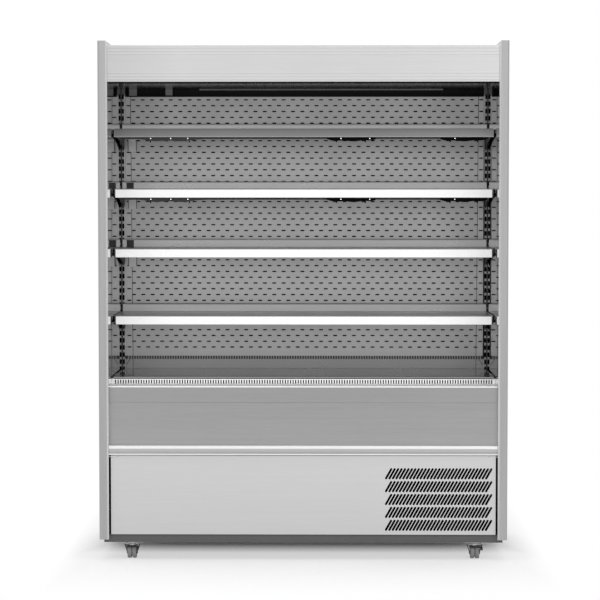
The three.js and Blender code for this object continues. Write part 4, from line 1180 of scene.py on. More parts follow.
@dataclass
class BackWall:
    """Perforated back panel and the two slotted uprights in front of it."""

    face: float = 220.0
    sheet: float = 1.2
    half: float = 699.0
    top: float = 1730.5
    ledge: float = 663.0
    ledge_front: float = 204.0
    columns: int = 38
    pitch: float = 36.7
    row_pitch: float = 22.7
    first_column: float = -686.7
    anchor_row: float = 1513.5
    rows_below: int = 34
    rows_above: int = 9
    row_shifts: tuple[float, ...] = (0.0, -10.4, 11.2, 9.5)
    slot_length: float = 16.5
    slot_width: float = 5.0
    seam_foot: float = 672.5
    seam_top: float = 679.0
    seam_start: float = 669.0
    comb: tuple[float, float] = (704.0, 717.0)
    comb_pitch: float = 10.0
    comb_teeth: int = 139
    upright_x: float = 707.0
    upright_half: float = 7.7
    upright_height: tuple[float, float] = (598.0, 1757.7)
    upright_slot: tuple[float, float] = (20.5, 7.6)
    upright_pitch: float = 28.0
    upright_first: float = 665.5
    upright_slots: int = 40

    def holes(self) -> Shape:
        """The perforated field: one cell with a slot, repeated over staggered rows.

        A cell is one pitch wide and one row high, with a point halfway along its top and
        bottom so that it meets the cells of the next row, which are half a pitch aside.
        Below each shelf the rows stand a little higher or lower, and plain bands make up
        the rest.

        Returns:
            The field, two faces and the walls of its slots.
        """
        w, h = self.pitch / 2, self.row_pitch / 2
        cell = [(-w, -h), (0, -h), (w, -h), (w, h), (0, h), (-w, h)]
        flat, triangles = triangulated(cell, [capsule(self.slot_length, self.slot_width)])
        rows = np.arange(-self.rows_below, self.rows_above + 1)
        columns = np.arange(self.columns)
        shift = (np.abs(rows) % 2)[:, None] * w
        x = self.first_column + columns[None] * self.pitch + shift
        levels = self.anchor_row + rows * self.row_pitch
        trays = np.array([Shelf(number).level for number in range(1, 5)])
        bay = (levels[:, None] < trays).sum(axis=1)
        levels = levels + np.array((0.0, *self.row_shifts))[bay]
        free = np.append(np.diff(levels) > h, True)
        rows, x, levels = rows[free], x[free], levels[free]
        z = np.broadcast_to(levels[:, None], x.shape)
        centres = np.stack([x.ravel(), z.ravel()], axis=1)
        points = (flat[None] + centres[:, None]).reshape(-1, 2)
        many = triangles[None] + len(flat) * np.arange(len(centres))[:, None, None]
        many = many.reshape(-1, 3)
        low, high = z[:, 0] - h, z[:, 0] + h
        odd = np.abs(rows) % 2 == 1
        side = np.full(len(rows), self.half)
        left = np.where(odd, self.first_column, -self.half)
        right = np.where(odd, self.half, self.first_column + (self.columns - 1) * self.pitch + w)
        below = np.append(low[0], high[:-1])
        for strip_points, strip_faces in (self.strips(-side, left, low, high, odd),
                                          self.strips(right, side, low, high, ~odd),
                                          self.strips(-side, side, below, low,
                                                      low - below > 0.05)):
            many = np.vstack([many, strip_faces + len(points)])
            points = np.vstack([points, strip_points])
        points[:, 0] = np.clip(points[:, 0], -self.half, self.half)
        points[:, 1] = np.clip(points[:, 1], None, self.top)
        rounded_points, index = np.unique(np.round(points, 4), axis=0, return_inverse=True)
        faces = index.reshape(-1)[many]
        return thickened(rounded_points, faces, Axis.Y, self.face, self.face + self.sheet)

    @staticmethod
    def strips(x0: np.ndarray, x1: np.ndarray, z0: np.ndarray, z1: np.ndarray,
               use: np.ndarray) -> tuple[np.ndarray, np.ndarray]:
        """Plain rectangles that fill the field up beside and between rows.

        Args:
            x0: left edges.
            x1: right edges.
            z0: lower edges.
            z1: upper edges.
            use: which rows have one.

        Returns:
            Points and triangles.
        """
        x0, x1, z0, z1 = x0[use], x1[use], z0[use], z1[use]
        corners = np.stack([np.stack([x0, z0], 1), np.stack([x1, z0], 1),
                            np.stack([x1, z1], 1), np.stack([x0, z1], 1)], axis=1)
        base = 4 * np.arange(len(x0))[:, None]
        faces = np.vstack([base + [0, 1, 2], base + [0, 2, 3]])
        return corners.reshape(-1, 2), faces

    def wall(self) -> Shape:
        """The back panel: perforated field, foot with an air comb and a ledge, seam beads.

        Returns:
            Zone 0 is the panel; 1 the comb's band in painted shade, the slanting lines as a
            painted reflection of the deck's edge, and the sealant beads; 2 the foot, darkened as
            a painted reflection.
        """
        low = self.anchor_row - (self.rows_below + 0.5) * self.row_pitch + self.row_shifts[-1]
        z0, z1 = self.comb
        # painted shade: the comb's band, zone 1, is a dark sheet standing for the shade behind
        # the teeth
        foot = [folded([(self.face, a), (self.face, b)], self.sheet, 0, -self.half,
                       self.half).zoned(zone)
                for a, b, zone in ((low, z1, 0), (z1, z0, 1))]
        foot.append(folded([(self.face, z0), (self.face, self.ledge),
                            (self.ledge_front, self.ledge)],
                           self.sheet, 1.5, -self.half, self.half).zoned(2))
        tooth = block((-1.6, 1.6), (self.face - 0.5, self.face + 0.2), (z0, z1)).zoned(2)
        places = (np.arange(self.comb_teeth) - self.comb_teeth // 2) * self.comb_pitch
        start, edge, end = self.seam_start, 1.1, self.top - 1
        # painted reflection: a dark slanting line each side where the deck's edge mirrors in the
        # wall
        line = prism(np.array([(683.0, z0), (685.6, z0), (709.0, start), (706.0, start)]),
                     Axis.Y, self.face - 0.4, self.face + 0.2).zoned(1)
        bead = prism(np.array([(self.seam_foot - edge, start), (self.seam_foot + edge, start),
                               (self.seam_top + edge, end), (self.seam_top - edge, end)]),
                     Axis.Y, self.face - 0.35, self.face + 0.2).zoned(1)
        return together([self.holes(), *foot, tooth.along_x(places), line.on_both_sides(),
                         bead.on_both_sides()])

    def upright(self, side: int) -> Shape:
        """One upright: a slotted face, two flanges behind it, the wall's hem lapping it.

        Args:
            side: -1 for the left, 1 for the right.

        Returns:
            The upright.
        """
        low, high = self.upright_height
        half = self.upright_half
        slots = [capsule(*self.upright_slot, 90)
                 + (1.2, self.upright_first + self.upright_pitch * row)
                 for row in range(-1, self.upright_slots - 1)]
        face = plate([(-half, low), (half, low), (half, high), (-half, high)], slots, Axis.Y,
                     216.0, 218.0)
        flanges = [block((a, a + 2), (218.0, 269.7), (low, high)) for a in (-half, half - 2)]
        # painted shade: a dark strip in the corner beside the slots
        gap = block((half - 2.6, half), (215.8, 216.4), (low, high)).zoned(1)
        z0, z1 = self.comb
        # the hem carries the wall's colours: the wall above the comb, the band's painted shade
        # beside it, the foot's painted reflection below
        hem = [block((-half, -half + 5.2), (215.6, 216.4), z).zoned(zone)
               for z, zone in (((z1, self.top), 2), ((z0, z1), 1), ((self.seam_start, z0), 4))]
        # painted shade: a black sheet behind the slots
        dark = block((-half + 2, half - 2), (218.3, 218.9), (low, high)).zoned(3)
        upright = together([face, *flanges, gap, *hem, dark])
        return upright.scaled(x=side).moved(x=side * self.upright_x)

    def build(self) -> None:
        """Builds the back wall."""
        put("perforated_wall", self.wall(), CABINET, (BACK_WALL, SEALANT_AND_PAINTED_SHADE, WALL_FOOT_PAINTED_REFLECTION),
            ("back_panel",))
        for side, name in SIDES:
            put(f"slotted_upright_{name}", self.upright(side), CABINET,
                (UPRIGHT_STEEL, SEALANT_AND_PAINTED_SHADE, BACK_WALL, GAP_BLACK, WALL_FOOT_PAINTED_REFLECTION),
                (f"upright_{name}",))


@dataclass
class Shelf:
    """One adjustable shelf: tray, lamp with its socket on the wall, brackets, ticket strip.

    The top one has no ticket strip and the lowest no socket that shows.
    """

    number: int
    front: float = -126.0
    back: float = 201.0
    half: float = 711.5
    sheet: float = 1.5
    lip_height: float = 30.5
    lip_rise: float = 2.0
    lip_return: float = 14.0
    riser: float = 28.0
    led_pitch: float = 64.0
    led_first: float = -639.0
    # painted glints: places along X of the LED_PAINTED_GLINT points that glow
    lit: tuple[float, ...] = (-574.0, -499.0, -435.0, 140.0, 248.0, 567.0)
    drivers: tuple[tuple[float, float], ...] = ((-628.0, -376.0), (84.0, 270.0), (512.0, 688.0))
    strip_half: float = 705.0
    bracket_x: float = 707.0
    lamp_back: float = 24.0
    lamp_half: float = 689.5
    lamp_body: float = 13.0
    lamp_width: float = 18.0
    lamp_hang: tuple[tuple[float, float], ...] = (
        (35.5, 45.0), (39.5, 48.5), (28.0, 28.0), (28.0, 28.0))
    plug_x: tuple[float, float] = (-694.0, -666.0)
    socket_x: tuple[float, float] = (-689.0, -655.0)
    socket_height: tuple[float, float] = (-76.0, -26.0)
    level: float = field(init=False)

    def __post_init__(self) -> None:
        """Takes the shelf's level from its solid."""
        self.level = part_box(f"shelf_tray_{self.number}")[1][2] / MM - self.riser - self.sheet

    def tray(self) -> Shape:
        """Lip, surface and riser folded from one sheet, with a flange down each side.

        Returns:
            Zone 0 is the surface, 1 the lip in painted shade, 2 a painted highlight along its
            foot, 3 a painted shadow line along the riser's top.
        """
        foot = self.lip_rise - self.lip_height - self.sheet
        path = [(self.back - 6, self.riser), (self.back, self.riser), (self.back, 0),
                (self.front + 4.5 + self.lip_rise, 0), (self.front + 4.5, self.lip_rise),
                (self.front, self.lip_rise), (self.front, foot),
                (self.front + self.lip_return, foot)]
        radii = (0, 1.6, 1.6, 3, 1.6, 1.6, 3.4, 0)
        bends = rounded(path, radii, closed=False)
        reach = self.half - self.sheet - 0.2
        outline = sheeted(bends, self.sheet)
        tray = prism(outline, Axis.X, -reach, reach)
        middle = edge_middles(outline)
        low = middle[:, 1] < foot + 2.2
        # painted shade on the lip (zone 1) and a painted highlight on the fold at its foot (zone
        # 2)
        tray.zones[:len(outline)] = np.where(middle[:, 0] < self.front + 7, 1, 0)
        tray.zones[:len(outline)][low] = 2
        # painted shadow: a dark strip along the riser's top
        painted_shadow_line = block((-reach, reach), (self.back - 5, self.back - 3.5),
                     (self.riser + self.sheet, self.riser + self.sheet + 2)).zoned(3)
        flange = block((self.half - self.sheet, self.half),
                       (self.front + self.lip_return + 4, self.back - 1), (-16.0, 1.4))
        return together([tray, painted_shadow_line, flange.on_both_sides()])

    def strip(self) -> Shape:
        """The ticket strip: a shallow C in section, with a black plug in each end.

        Returns:
            The strip in zone 0, its plugs in zone 1.
        """
        top, foot = self.lip_rise - 3.5, self.lip_rise - self.lip_height - self.sheet - 1.5
        y = self.front - 1.5
        path = [(y + 1.2, top), (y, top), (y, foot), (y + 4.5, foot)]
        white = folded(path, 1.2, 1.0, -self.strip_half, self.strip_half)
        plug = block((self.strip_half + 0.2, self.strip_half + 4.5), (y - 0.1, y + 2.6),
                     (foot, top), 0.6).zoned(1)
        return white + plug.on_both_sides()

    def driver(self, start: float, stop: float, top: float, foot: float) -> Shape:
        """One driver of the lamp, with the flat lead that sags under it.

        Its lower edge is foot + rise x (|2t-1|^3 + 0.22 (1 + sin(5 pi t + start))) with t
        from end to end and rise half its height; two clips hang a little lower.

        Args:
            start: its left end along X.
            stop: its right end along X.
            top: its upper edge.
            foot: its lowest level.

        Returns:
            The driver in zone 0 and its clips in zone 3.
        """
        t = np.linspace(0, 1, 33)
        wave = np.abs(2 * t - 1) ** 3 + 0.22 * (1 + np.sin(5 * math.pi * t + start))
        low = np.stack([start + (stop - start) * t, foot + 0.5 * (top - foot) * wave], axis=1)
        outline = np.vstack([low, [(stop, top), (start, top)]])
        near = self.front + self.lamp_back - 1
        clips = [block((x, x + 4.5), (near + 1, near + 6), (foot - 3.5, foot + 6)).zoned(3)
                 for x in (start + 0.2 * (stop - start), start + 0.78 * (stop - start))]
        return together([prism(outline, Axis.Y, near, near + 15), *clips])

    def lamp(self) -> Shape:
        """The lamp: a web under the tray, a body along its foot and a row of points, some
        glowing.

        lamp_hang gives how deep the case and the drivers hang under each shelf: under the two
        upper ones the drivers show below the lip. On the second and third shelf the lamp's
        plug shows at the left of the riser.

        Returns:
            Zone 0 is the case, 1 the glowing points, painted glints, 2 the unlit ones, 3 black
            fittings.
        """
        front, half = self.front + self.lamp_back, self.lamp_half
        body, width = self.lamp_body, self.lamp_width
        drop, foot = self.lamp_hang[self.number - 1]
        outline = rounded([(front, -1.8), (front, -drop), (front + width, -drop),
                           (front + width, -drop + body), (front + 3, -drop + body),
                           (front + 3, -4.8), (front + width, -4.8), (front + width, -1.8)],
                          (0.5, 3, 3, 2, 0.5, 0.5, 0.5, 0.5))
        case = prism(outline, Axis.X, -half, half)
        dot = lathed([(0, -0.5), (1.9, -0.5), (2.1, 0), (1.4, 0.6), (0, 0.8)], Axis.Y, 10)
        dot = dot.scaled(y=-1)
        places = np.arange(self.led_first, half - 20, self.led_pitch)
        # painted glints: only the points at lit glow
        lit = dot.moved(y=front - (foot > drop), z=-foot + 11).zoned(1).along_x(
            np.array(self.lit))
        dark = dot.moved(y=front, z=-drop + 4.5).zoned(2).along_x(places)
        drivers = [self.driver(*x, -drop + 5.5, -foot) for x in self.drivers if foot > drop]
        drivers[1:] = [driver.zoned(3) for driver in drivers[1:]]
        parts = [case, lit, dark, *drivers]
        if self.number in (2, 3):
            parts.append(block(self.plug_x, (self.back - 4, self.back - 0.3),
                               (1.0, self.riser - 1), 1.5))
        return together(parts)

    def bracket(self, side: int) -> Shape:
        """The plate bracket: hooks in the upright, its lower edge a swept curve.

        The sweep is (1-t)^2 rear + 2t(1-t) middle + t^2 front. A narrow flange turns in
        towards the goods along its rear edge.

        Args:
            side: -1 for the left, 1 for the right.

        Returns:
            The bracket, about its own plane.
        """
        face, behind, front = 215.7, 220.4, self.front + self.lip_return + 4
        top, edge = -1.8, -11.5
        lower = edge - 56
        t = np.linspace(0, 1, 25)[:, None]
        rear, middle = np.array([face, -74.0]), np.array([face - 90, -35.0])
        tip = np.array([front, -25.0])
        sweep = (1 - t) ** 2 * rear + 2 * t * (1 - t) * middle + t ** 2 * tip
        outline = np.vstack([sweep, [
            (front, top), (face - 4, top), (face - 2.6, edge + 8), (behind + 3, edge + 8),
            (behind + 3, edge - 8), (behind, edge - 8), (behind, edge), (face, edge),
            (face, lower + 14), (face + 5, lower + 14), (face + 5, lower + 2),
            (face, lower + 2)]])
        # painted shade: the flange draws the dark line at the upright's edge
        flange = block(sorted((-side * 1.4, -side * 4.0)), (213.4, 215.4), (-66.0, -8.0))
        return together([prism(outline, Axis.X, -1.5, 1.5), flange])

    def socket(self) -> Shape:
        """The lamp's socket plate, on the wall behind the left end.

        Returns:
            The plate in zone 0, a painted highlight across its top in zone 1 and painted shade
            lines down its edges in zone 2.
        """
        base = block(self.socket_x, (213.0, 219.8), self.socket_height, 1.5)
        # painted highlight: a bright bar across the plate's top
        rim = block((-684.0, -660.0), (212.2, 213.2), (-36.0, -30.0)).zoned(1)
        # painted shade: dark lines down the plate's two edges
        pins = [block((x, x + 2.4), (212.4, 213.2), (-75.0, -31.0)).zoned(2)
                for x in (-689.2, -657.4)]
        return together([base, rim, *pins])

    def build(self) -> None:
        """Builds the shelf."""
        n, z = self.number, self.level
        body = f"shelf_{n}"
        put(f"shelf_{n}_tray", self.tray().moved(z=z), body,
            (SHELF_STEEL, LIP_PAINTED_SHADE, FOLD_PAINTED_HIGHLIGHT, SEALANT_AND_PAINTED_SHADE),
            (f"shelf_tray_{n}",))
        put(f"shelf_{n}_lamp", self.lamp().moved(z=z), body,
            (BLACK_PLASTIC, LED_PAINTED_GLINT, LENS, GAP_BLACK), (f"shelf_lamp_{n}",),
            Cuts(smooth=50))
        if n > 1:
            put(f"shelf_{n}_ticket_strip", self.strip().moved(z=z), body,
                (STRIP_WHITE, BLACK_PLASTIC), (f"ticket_strip_{n}",))
        if n < 4:
            put(f"shelf_{n}_lamp_socket", self.socket().moved(z=z), CABINET,
                (SOCKET_GREY, FOLD_PAINTED_HIGHLIGHT, BLACK_PLASTIC))
        for side, name in SIDES:
            bracket = self.bracket(side).moved(x=side * self.bracket_x, z=z)
            put(f"shelf_{n}_bracket_{name}", bracket, f"shelf_{n}_arms", (DARK_PAINT_AND_SHADE,),
                (f"bracket_{name}_{n}",), Cuts(bevel=0.3))


@dataclass
class LowerFront:
    """Nose, fascia, bumper rail, return grille, deck and service panel."""

    recess: float = -294.0
    wall: float = -288.3
    half: float = 714.7
    panel_half: float = 709.0
    rail_foot: float = 390.0
    rail_top: float = 425.0
    fascia_top: float = 583.0
    nose_top: float = 644.0
    nose_back: float = -190.0
    grille_top: float = 663.0
    comb_top: float = 660.6
    comb_slots: int = 147
    comb_pitch: float = 9.6
    deck_top: float = 668.0
    deck_back: float = 214.0
    deck_half: float = 709.6
    sheet: float = 1.5
    panel_foot: float = 94.4
    panel_top: float = 386.5
    panel_flange: float = 14.0
    louvre: tuple[float, float, float] = (47.3, 8.2, 60.5)
    louvre_rows: int = 5
    louvre_columns: int = 30
    louvre_pitch: tuple[float, float] = (12.7, 47.7)
    louvre_last: float = 683.2
    louvre_top: float = 320.0

    def nose(self) -> Shape:
        """The well's top edge: up the front, over a round nose and back to the grille.

        Returns:
            The front in zone 0, the top in zone 1 in a painted highlight.
        """
        path = [(self.nose_back, self.nose_top), (self.recess, self.nose_top),
                (self.recess, self.fascia_top), (self.wall, self.fascia_top)]
        outline = sheeted(rounded(path, (0, 8, 0.5, 0), closed=False, steps=8), self.sheet)
        nose = prism(outline, Axis.X, -self.half, self.half)
        middle = edge_middles(outline)
        # painted highlight: faces near the top take the brighter copy
        nose.zones[:len(outline)] = middle[:, 1] > self.nose_top - 5.0
        return nose

    def fascia(self) -> Shape:
        """The flat fascia between nose and rail.

        Returns:
            The fascia.
        """
        y, z0, z1 = self.recess, self.rail_top + 0.3, self.fascia_top - 0.2
        return folded([(self.wall, z1), (y, z1), (y, z0), (self.wall, z0)], self.sheet, 0.5,
                      -self.panel_half, self.panel_half)

    def rail(self) -> Shape:
        """The bumper rail: round top, shallow hollow, a bead along its foot.

        Returns:
            The rail, its crown and bead in zone 1 in a painted highlight.
        """
        face, foot, top = self.recess - 18, self.rail_foot, self.rail_top
        outline = rounded([(self.wall, top), (face + 4, top), (face, top - 12),
                           (face + 1, foot + 14), (face + 3, foot + 9), (face + 3, foot + 7),
                           (face - 1, foot + 5), (face - 1, foot + 1.5), (face + 2, foot),
                           (self.wall, foot)],
                          (0, 9, 6, 4, 1, 1, 1.4, 1.4, 1, 0), steps=6)
        rail = prism(outline, Axis.X, -self.half, self.half)
        middle = edge_middles(outline)
        # painted highlight: the crown and the bead take the brighter copy
        crown = (middle[:, 1] > top - 9) | (abs(middle[:, 1] - foot - 3) < 3)
        rail.zones[:len(outline)] = crown
        return rail

    def grille(self) -> Shape:
        """The comb: teeth with round tips standing on the nose, under a folded-back top.

        Returns:
            The comb in zone 0, the dark space behind its slots in zone 1.
        """
        foot, y = self.nose_top + 0.3, self.nose_back - self.sheet
        slot, tall, count = 4.5, 14.0, self.comb_slots
        angle = np.linspace(0, math.pi, 5)
        gap = np.vstack([[(-slot / 2, foot)],
                         np.stack([-slot / 2 * np.cos(angle),
                                   foot + tall - slot / 2 + slot / 2 * np.sin(angle)], axis=1),
                         [(slot / 2, foot)]])
        centres = (np.arange(count) - (count - 1) / 2) * self.comb_pitch
        teeth = (gap[None] + np.stack([centres, 0 * centres], axis=1)[:, None]).reshape(-1, 2)
        outline = np.vstack([[(-self.half, foot)], teeth, [(self.half, foot),
                             (self.half, self.comb_top - 1), (-self.half, self.comb_top - 1)]])
        comb = plate(outline, [], Axis.Y, y, self.nose_back)
        back = folded([(self.nose_back + 36, self.comb_top), (y, self.comb_top),
                       (y, self.comb_top - 1)], self.sheet, 0.8, -self.half, self.half)
        inside = block((-self.half, self.half), (self.nose_back + 0.8, self.nose_back + 1.6),
                       (foot, self.comb_top - 2.5)).zoned(1)
        return together([comb, back, inside])

    def deck(self) -> Shape:
        """The deck plate with its two flanges.

        Returns:
            The deck plate.
        """
        front, back, z0 = self.nose_back + 6, self.deck_back, self.grille_top + 0.3
        return folded([(back, z0), (back, self.deck_top), (front, self.deck_top), (front, z0)],
                      self.sheet, 1.6, -self.deck_half, self.deck_half)

    def service_panel(self) -> Shape:
        """The louvred panel: a face with round-ended slanted slots, flanged all round.

        Returns:
            The panel with its hinge pins.
        """
        top, foot, half = self.panel_top, self.panel_foot, self.panel_half
        slot = capsule(*self.louvre, steps=5)
        x = self.louvre_last - np.arange(self.louvre_columns) * self.louvre_pitch[0]
        z = self.louvre_top - np.arange(self.louvre_rows) * self.louvre_pitch[1]
        centres = np.stack(np.meshgrid(x, z), axis=-1).reshape(-1, 2)
        notch = np.array([(686.0, top), (685.0, top - 4), (682.0, top - 4), (681.0, top)])
        edge = [(-half, foot), (half, foot), (half, top), *notch,
                *(notch[::-1] * (-1, 1)), (-half, top)]
        inner, back = self.recess + self.sheet, self.recess + self.panel_flange
        face = plate(edge, [slot + centre for centre in centres], Axis.Y, self.recess, inner)
        rim = [block((-half, half), (inner, back), z)
               for z in ((foot, foot + self.sheet), (top - self.sheet, top))]
        end = block((half - self.sheet, half), (inner, back), (foot + 1.5, top - 1.5))
        pin = lathed([(0, half - 1), (2.5, half - 1), (2.5, 718.5), (2.1, 719), (0, 719)],
                     Axis.X, 16).moved(y=-289.0, z=382.0)
        return together([face, *rim, (end + pin).on_both_sides()])

    def build(self) -> None:
        """Builds the lower front."""
        put("nose_edge", self.nose(), CABINET, (NOSE, NOSE_TOP_PAINTED_HIGHLIGHT),
            ("nose_profile",))
        put("fascia_sheet", self.fascia(), CABINET, (NOSE,),
            ("front_fascia",))
        put("bumper_profile", self.rail(), CABINET, (RAIL, RAIL_CROWN_PAINTED_HIGHLIGHT),
            ("bumper_rail",))
        put("grille_comb", self.grille(), CABINET, (WHITE_COMB, GAP_BLACK),
            ("return_grille",))
        put("deck_sheet", self.deck(), "deck", (POLISHED,), ("deck_plate",))
        put("louvred_panel", self.service_panel(), "service_panel", (SERVICE,),
            ("service_panel",))
        dress("well_tank", TANK_STEEL)


@dataclass
class MachineBay:
    """What stands in the base and in the well: each solid's finish and rounding."""

    machines: tuple[tuple[str, Finish, float], ...] = (
        ("base_frame", FRAME_PAINT, 0.8), ("compressor", ENAMEL_BLACK, 0.0),
        ("condenser_coil", COIL_BLACK_AND_SHADE, 0.0), ("condenser_shroud", COIL_BLACK_AND_SHADE, 0.0),
        ("condenser_fan", BLACK_PLASTIC, 0.0), ("controller", CONTROLLER, 1.5),
        ("condensate_tray", BLACK_PLASTIC, 1.5), ("fan_plate", ALUMINIUM, 0.0),
        ("evaporator_coil", FINS, 0.0), ("evaporator_fan_left", BLACK_PLASTIC, 0.0),
        ("evaporator_fan_right", BLACK_PLASTIC, 0.0))

    def build(self) -> None:
        """Dresses the machines and sets a black core behind the condenser's front fins, painted
        shade for the louvres.
        """
        for node, finish, bevel in self.machines:
            dress(node, finish, bevel)
        # painted shade: a black plate behind the louvre slots
        core = block((292.0, 688.0), (-246.0, -244.0), (96.0, 333.0))
        put("condenser_core_painted_shade", core, CABINET, (COIL_BLACK_AND_SHADE,))


@dataclass
class Castor:
    """One swivel castor: yoke, twin-tread wheel and, at the front, a brake pedal."""

    name: str
    x: float
    y: float
    radius: float = 25.0
    trail: float = 17.0

    @property
    def trailing(self) -> float:
        """The axle's place along Y from the swivel's: outwards, to the front or the rear."""
        return -self.trail if self.y < 0 else self.trail

    def wheel(self) -> Shape:
        """Twin treads with rounded shoulders round a hub.

        Returns:
            The wheel on its axle.
        """
        r, w = self.radius, 16.5
        side = [(3.5, 18.6), (3.5, w - 3), (11, w - 3), (12, w - 1.5), (19, w - 1.5), (20, w)]
        tread = rounded([(20, w), (r, w), (r, 2.6), (r - 5, 2.0)], (0, 3.4, 2.6, 0), False, 5)
        half = [*side, *tread[1:].tolist()]
        profile = [(0, 18.6), *half, (r - 5, 0)]
        mirrored = [(a, -b) for a, b in profile[::-1]][1:]
        wheel = lathed([*profile, *mirrored], Axis.X, 48)
        return wheel.moved(self.x, self.y + self.trailing, r)

    def yoke(self) -> Shape:
        """The yoke: a round crown over two legs that lean in from it to the axle.

        Going down a leg, its inner face and its middle go straight from the crown's rim to
        the wheel's side and the axle, its breadth shrinks with the square of the height, and
        below the axle it closes in a half circle.

        Returns:
            The yoke in zone 0, its race ring in zone 1.
        """
        crown = lathed([(0, 50.6), (27.2, 50.6), (27.2, 55.4), (0, 55.4)], Axis.Z, 40)
        race = lathed([(27, 49.9), (30.4, 49.9), (31.2, 50.8), (31.2, 54.8), (30.2, 55.7),
                       (27, 55.7), (27, 49.9)], Axis.Z, 40).zoned(1)
        axle, crown_foot, end = self.radius, 52.0, 9.0
        z = np.concatenate([np.linspace(crown_foot, axle, 8),
                            axle - end * np.sin(np.linspace(0.2, 1.5, 6))])
        up = np.clip((z - axle) / (crown_foot - axle), 0, 1)
        inner = 17.2 + 9.6 * up
        below = np.clip((axle - z) / end, 0, 0.995)
        breadth = (end + 13 * up ** 2) * np.sqrt(1 - below ** 2)
        middle = self.trailing * (1 - up)
        corners = [np.stack([x, middle + a * breadth, z], axis=1)
                   for x, a in ((inner, -1), (inner + 3, -1), (inner + 3, 1), (inner, 1))]
        leg = lofted(np.stack(corners, axis=1))
        parts = [crown, race, leg.on_both_sides()]
        if self.y < 0:
            parts.append(block((17.2, 20.2), (-44.0, -20.0), (40.0, 51.4), 2).on_both_sides())
        return together(parts).moved(self.x, self.y)

    def pedal(self) -> Shape:
        """The brake pedal: a pin across the yoke, and a lever beside its right leg.

        Returns:
            The pedal in its place in front of the yoke.
        """
        pin = lathed([(0, -20.0), (2.2, -20.0), (2.2, 26.0), (0, 26.0)], Axis.X, 14)
        lever = rounded([(2.9, -2.6), (1.5, 3), (-6, 3), (-22, -6), (-22, -9), (-3, -3)],
                        (0.5, 1, 2, 1.4, 1.4, 2))
        arm = prism(lever, Axis.X, 21.4, 27.4)
        return together([pin, arm]).moved(self.x, self.y - 39.0, 45.0)

    def build(self) -> None:
        """Builds the castor."""
        n = self.name
        put(f"castor_tyre_{n}", self.wheel(), f"wheel_{n}", (TREAD,),
            (f"castor_wheel_{n}",))
        put(f"castor_yoke_{n}", self.yoke(), f"castor_{n}", (BLACKENED, ZINC),
            (f"castor_fork_{n}",))
        seat = lathed([(24.2, 56.2), (28.4, 56.2), (29.6, 57.4), (29.6, 60.6), (24.2, 60.6),
                       (24.2, 56.2)], Axis.Z, 40).moved(self.x, self.y)
        flat = block((self.x - 43, self.x + 43), (self.y - 39, self.y + 39), (60.7, 63.2), 6)
        put(f"castor_seat_{n}", seat + flat, CABINET, (ZINC,))
        if self.y < 0:
            put(f"castor_brake_{n}", self.pedal(), f"brake_{n}", (BLACKENED,),
                (f"brake_pedal_{n}",))


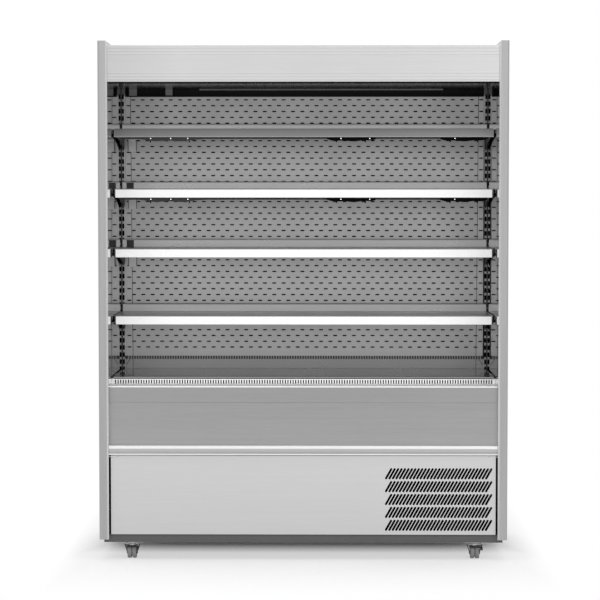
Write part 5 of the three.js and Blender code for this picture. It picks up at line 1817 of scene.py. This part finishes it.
# ---------------------------------------------------------------- studio
@dataclass
class Studio:
    """Floor, world, lamps and the camera."""

    focal: float = 124.0
    place: tuple[float, float, float] = (0.069, -7.870, 1.326)
    pitch: float = 2.76
    yaw: float = 0.61
    sky: float = 0.78
    floor_size: float = 60000.0
    # painted light: how much white lightens the shadow in front of the object
    painted_floor_light: tuple[tuple[float, float, float, float], ...] = (
        (0.05, -0.14, 0.05, 0.58), (-0.2, -0.36, 0.0, -0.2), (-0.45, -1.0, 0.0, 0.62))

    def camera(self) -> None:
        """The camera at the photograph's view."""
        data = bpy.data.cameras.new("view")
        data.lens = self.focal
        data.sensor_width = 36
        cam = bpy.data.objects.new("view", data)
        cam.location = self.place
        cam.rotation_euler = (math.radians(90 - self.pitch), 0, math.radians(self.yaw))
        bpy.context.scene.collection.objects.link(cam)
        bpy.context.scene.camera = cam

    def world(self) -> None:
        """White where the camera, gloss or glass look, softer where it lights the object."""
        world = bpy.data.worlds.new("studio")
        world.use_nodes = True
        world.node_tree.nodes.clear()
        nodes = Nodes(world.node_tree)
        path = nodes.add("LightPath")
        seen = nodes.math("MAXIMUM", path.outputs["Is Camera Ray"],
                          nodes.math("MAXIMUM", path.outputs["Is Glossy Ray"],
                                     path.outputs["Is Transmission Ray"]))
        strength = nodes.ramp(seen, 0, 1, self.sky, 1.0)
        sky = nodes.add("Background", {"Color": (1, 1, 1, 1), "Strength": strength})
        nodes.add("OutputWorld", {"Surface": sky.outputs[0]})
        bpy.context.scene.world = world

    def floor(self) -> None:
        """A pale floor that keeps the object's shadow and is white beyond it.

        Each of painted_floor_light is (start, stop, low, high) along Y: their sum is the share of
        plain white in front of the object, painted light that lightens its shadow towards the
        front.
        """
        size = self.floor_size
        square = np.array([(-size, -size, 0), (size, -size, 0), (size, size, 0),
                           (-size, size, 0)])
        mesh = into_mesh("floor", Shape.of(square, np.array([[0, 1, 2, 3]])))
        material = bpy.data.materials.new("pale_floor")
        material.use_nodes = True
        material.node_tree.nodes.clear()
        nodes = Nodes(material.node_tree)
        place = nodes.add("TexCoord").outputs["Object"]
        spot = nodes.add("SeparateXYZ", {0: place})
        # painted light: the share of white rises towards the front
        steps = [nodes.ramp(spot.outputs[1], *step) for step in self.painted_floor_light]
        near = nodes.math("ADD", steps[0], nodes.math("ADD", steps[1], steps[2]))
        aside = nodes.ramp(nodes.math("ABSOLUTE", spot.outputs[0]), 0.75, 0.9)
        behind = nodes.ramp(spot.outputs[1], 0.33, 1.2)
        far = nodes.math("MAXIMUM", near, nodes.math("MAXIMUM", aside, behind))
        path = nodes.add("LightPath")
        seen = nodes.math("MAXIMUM", path.outputs["Is Camera Ray"],
                          path.outputs["Is Glossy Ray"])
        cloth = nodes.add("BsdfDiffuse", {"Color": (0.98, 0.98, 0.98, 1)})
        white = nodes.add("Emission", {"Color": (1, 1, 1, 1), "Strength": 1.0})
        mixed = nodes.add("MixShader", {0: nodes.math("MULTIPLY", far, seen),
                                        1: cloth.outputs[0], 2: white.outputs[0]})
        nodes.add("OutputMaterial", {"Surface": mixed.outputs[0]})
        mesh.materials.append(material)
        floor = bpy.data.objects.new("floor", mesh)
        bpy.context.scene.collection.objects.link(floor)

    def lamp(self, name: str, place: Sequence[float], aim: Sequence[float], size: float,
             power: float) -> None:
        """A square soft lamp.

        Args:
            name: its name.
            place: where it stands, in metres.
            aim: the point it faces.
            size: its side.
            power: its power in watts.
        """
        data = bpy.data.lights.new(name, "AREA")
        data.size = size
        data.energy = power
        lamp = bpy.data.objects.new(name, data)
        lamp.location = place
        way = Vector(aim) - Vector(place)
        lamp.rotation_euler = way.to_track_quat("-Z", "Y").to_euler()
        bpy.context.scene.collection.objects.link(lamp)

    def build(self) -> None:
        """Sets up the studio."""
        bpy.context.scene.view_settings.view_transform = "Standard"
        self.camera()
        self.world()
        self.floor()
        self.lamp("front_left", (-3.8, -5.5, 3.2), (0, 0, 0.9), 5.0, 50)
        self.lamp("front_right", (3.8, -5.2, 3.0), (0, 0, 0.9), 5.0, 70)
        self.lamp("above", (0, -0.8, 5.2), (0, 0, 0), 4.0, 50)


def main() -> None:
    """Builds the studio and every sub-assembly."""
    Studio().build()
    Shell().build()
    Canopy().build()
    NightBlind().build()
    BackWall().build()
    for number in range(1, 5):
        Shelf(number).build()
    LowerFront().build()
    MachineBay().build()
    for name, x, y in (("front_left", -635, -234), ("front_right", 635, -234),
                       ("rear_left", -635, 234), ("rear_right", 635, 234)):
        Castor(name, x, y).build()


if __name__ == "__main__":
    logging.basicConfig(level=logging.INFO, format="%(name)s: %(message)s")
    main()
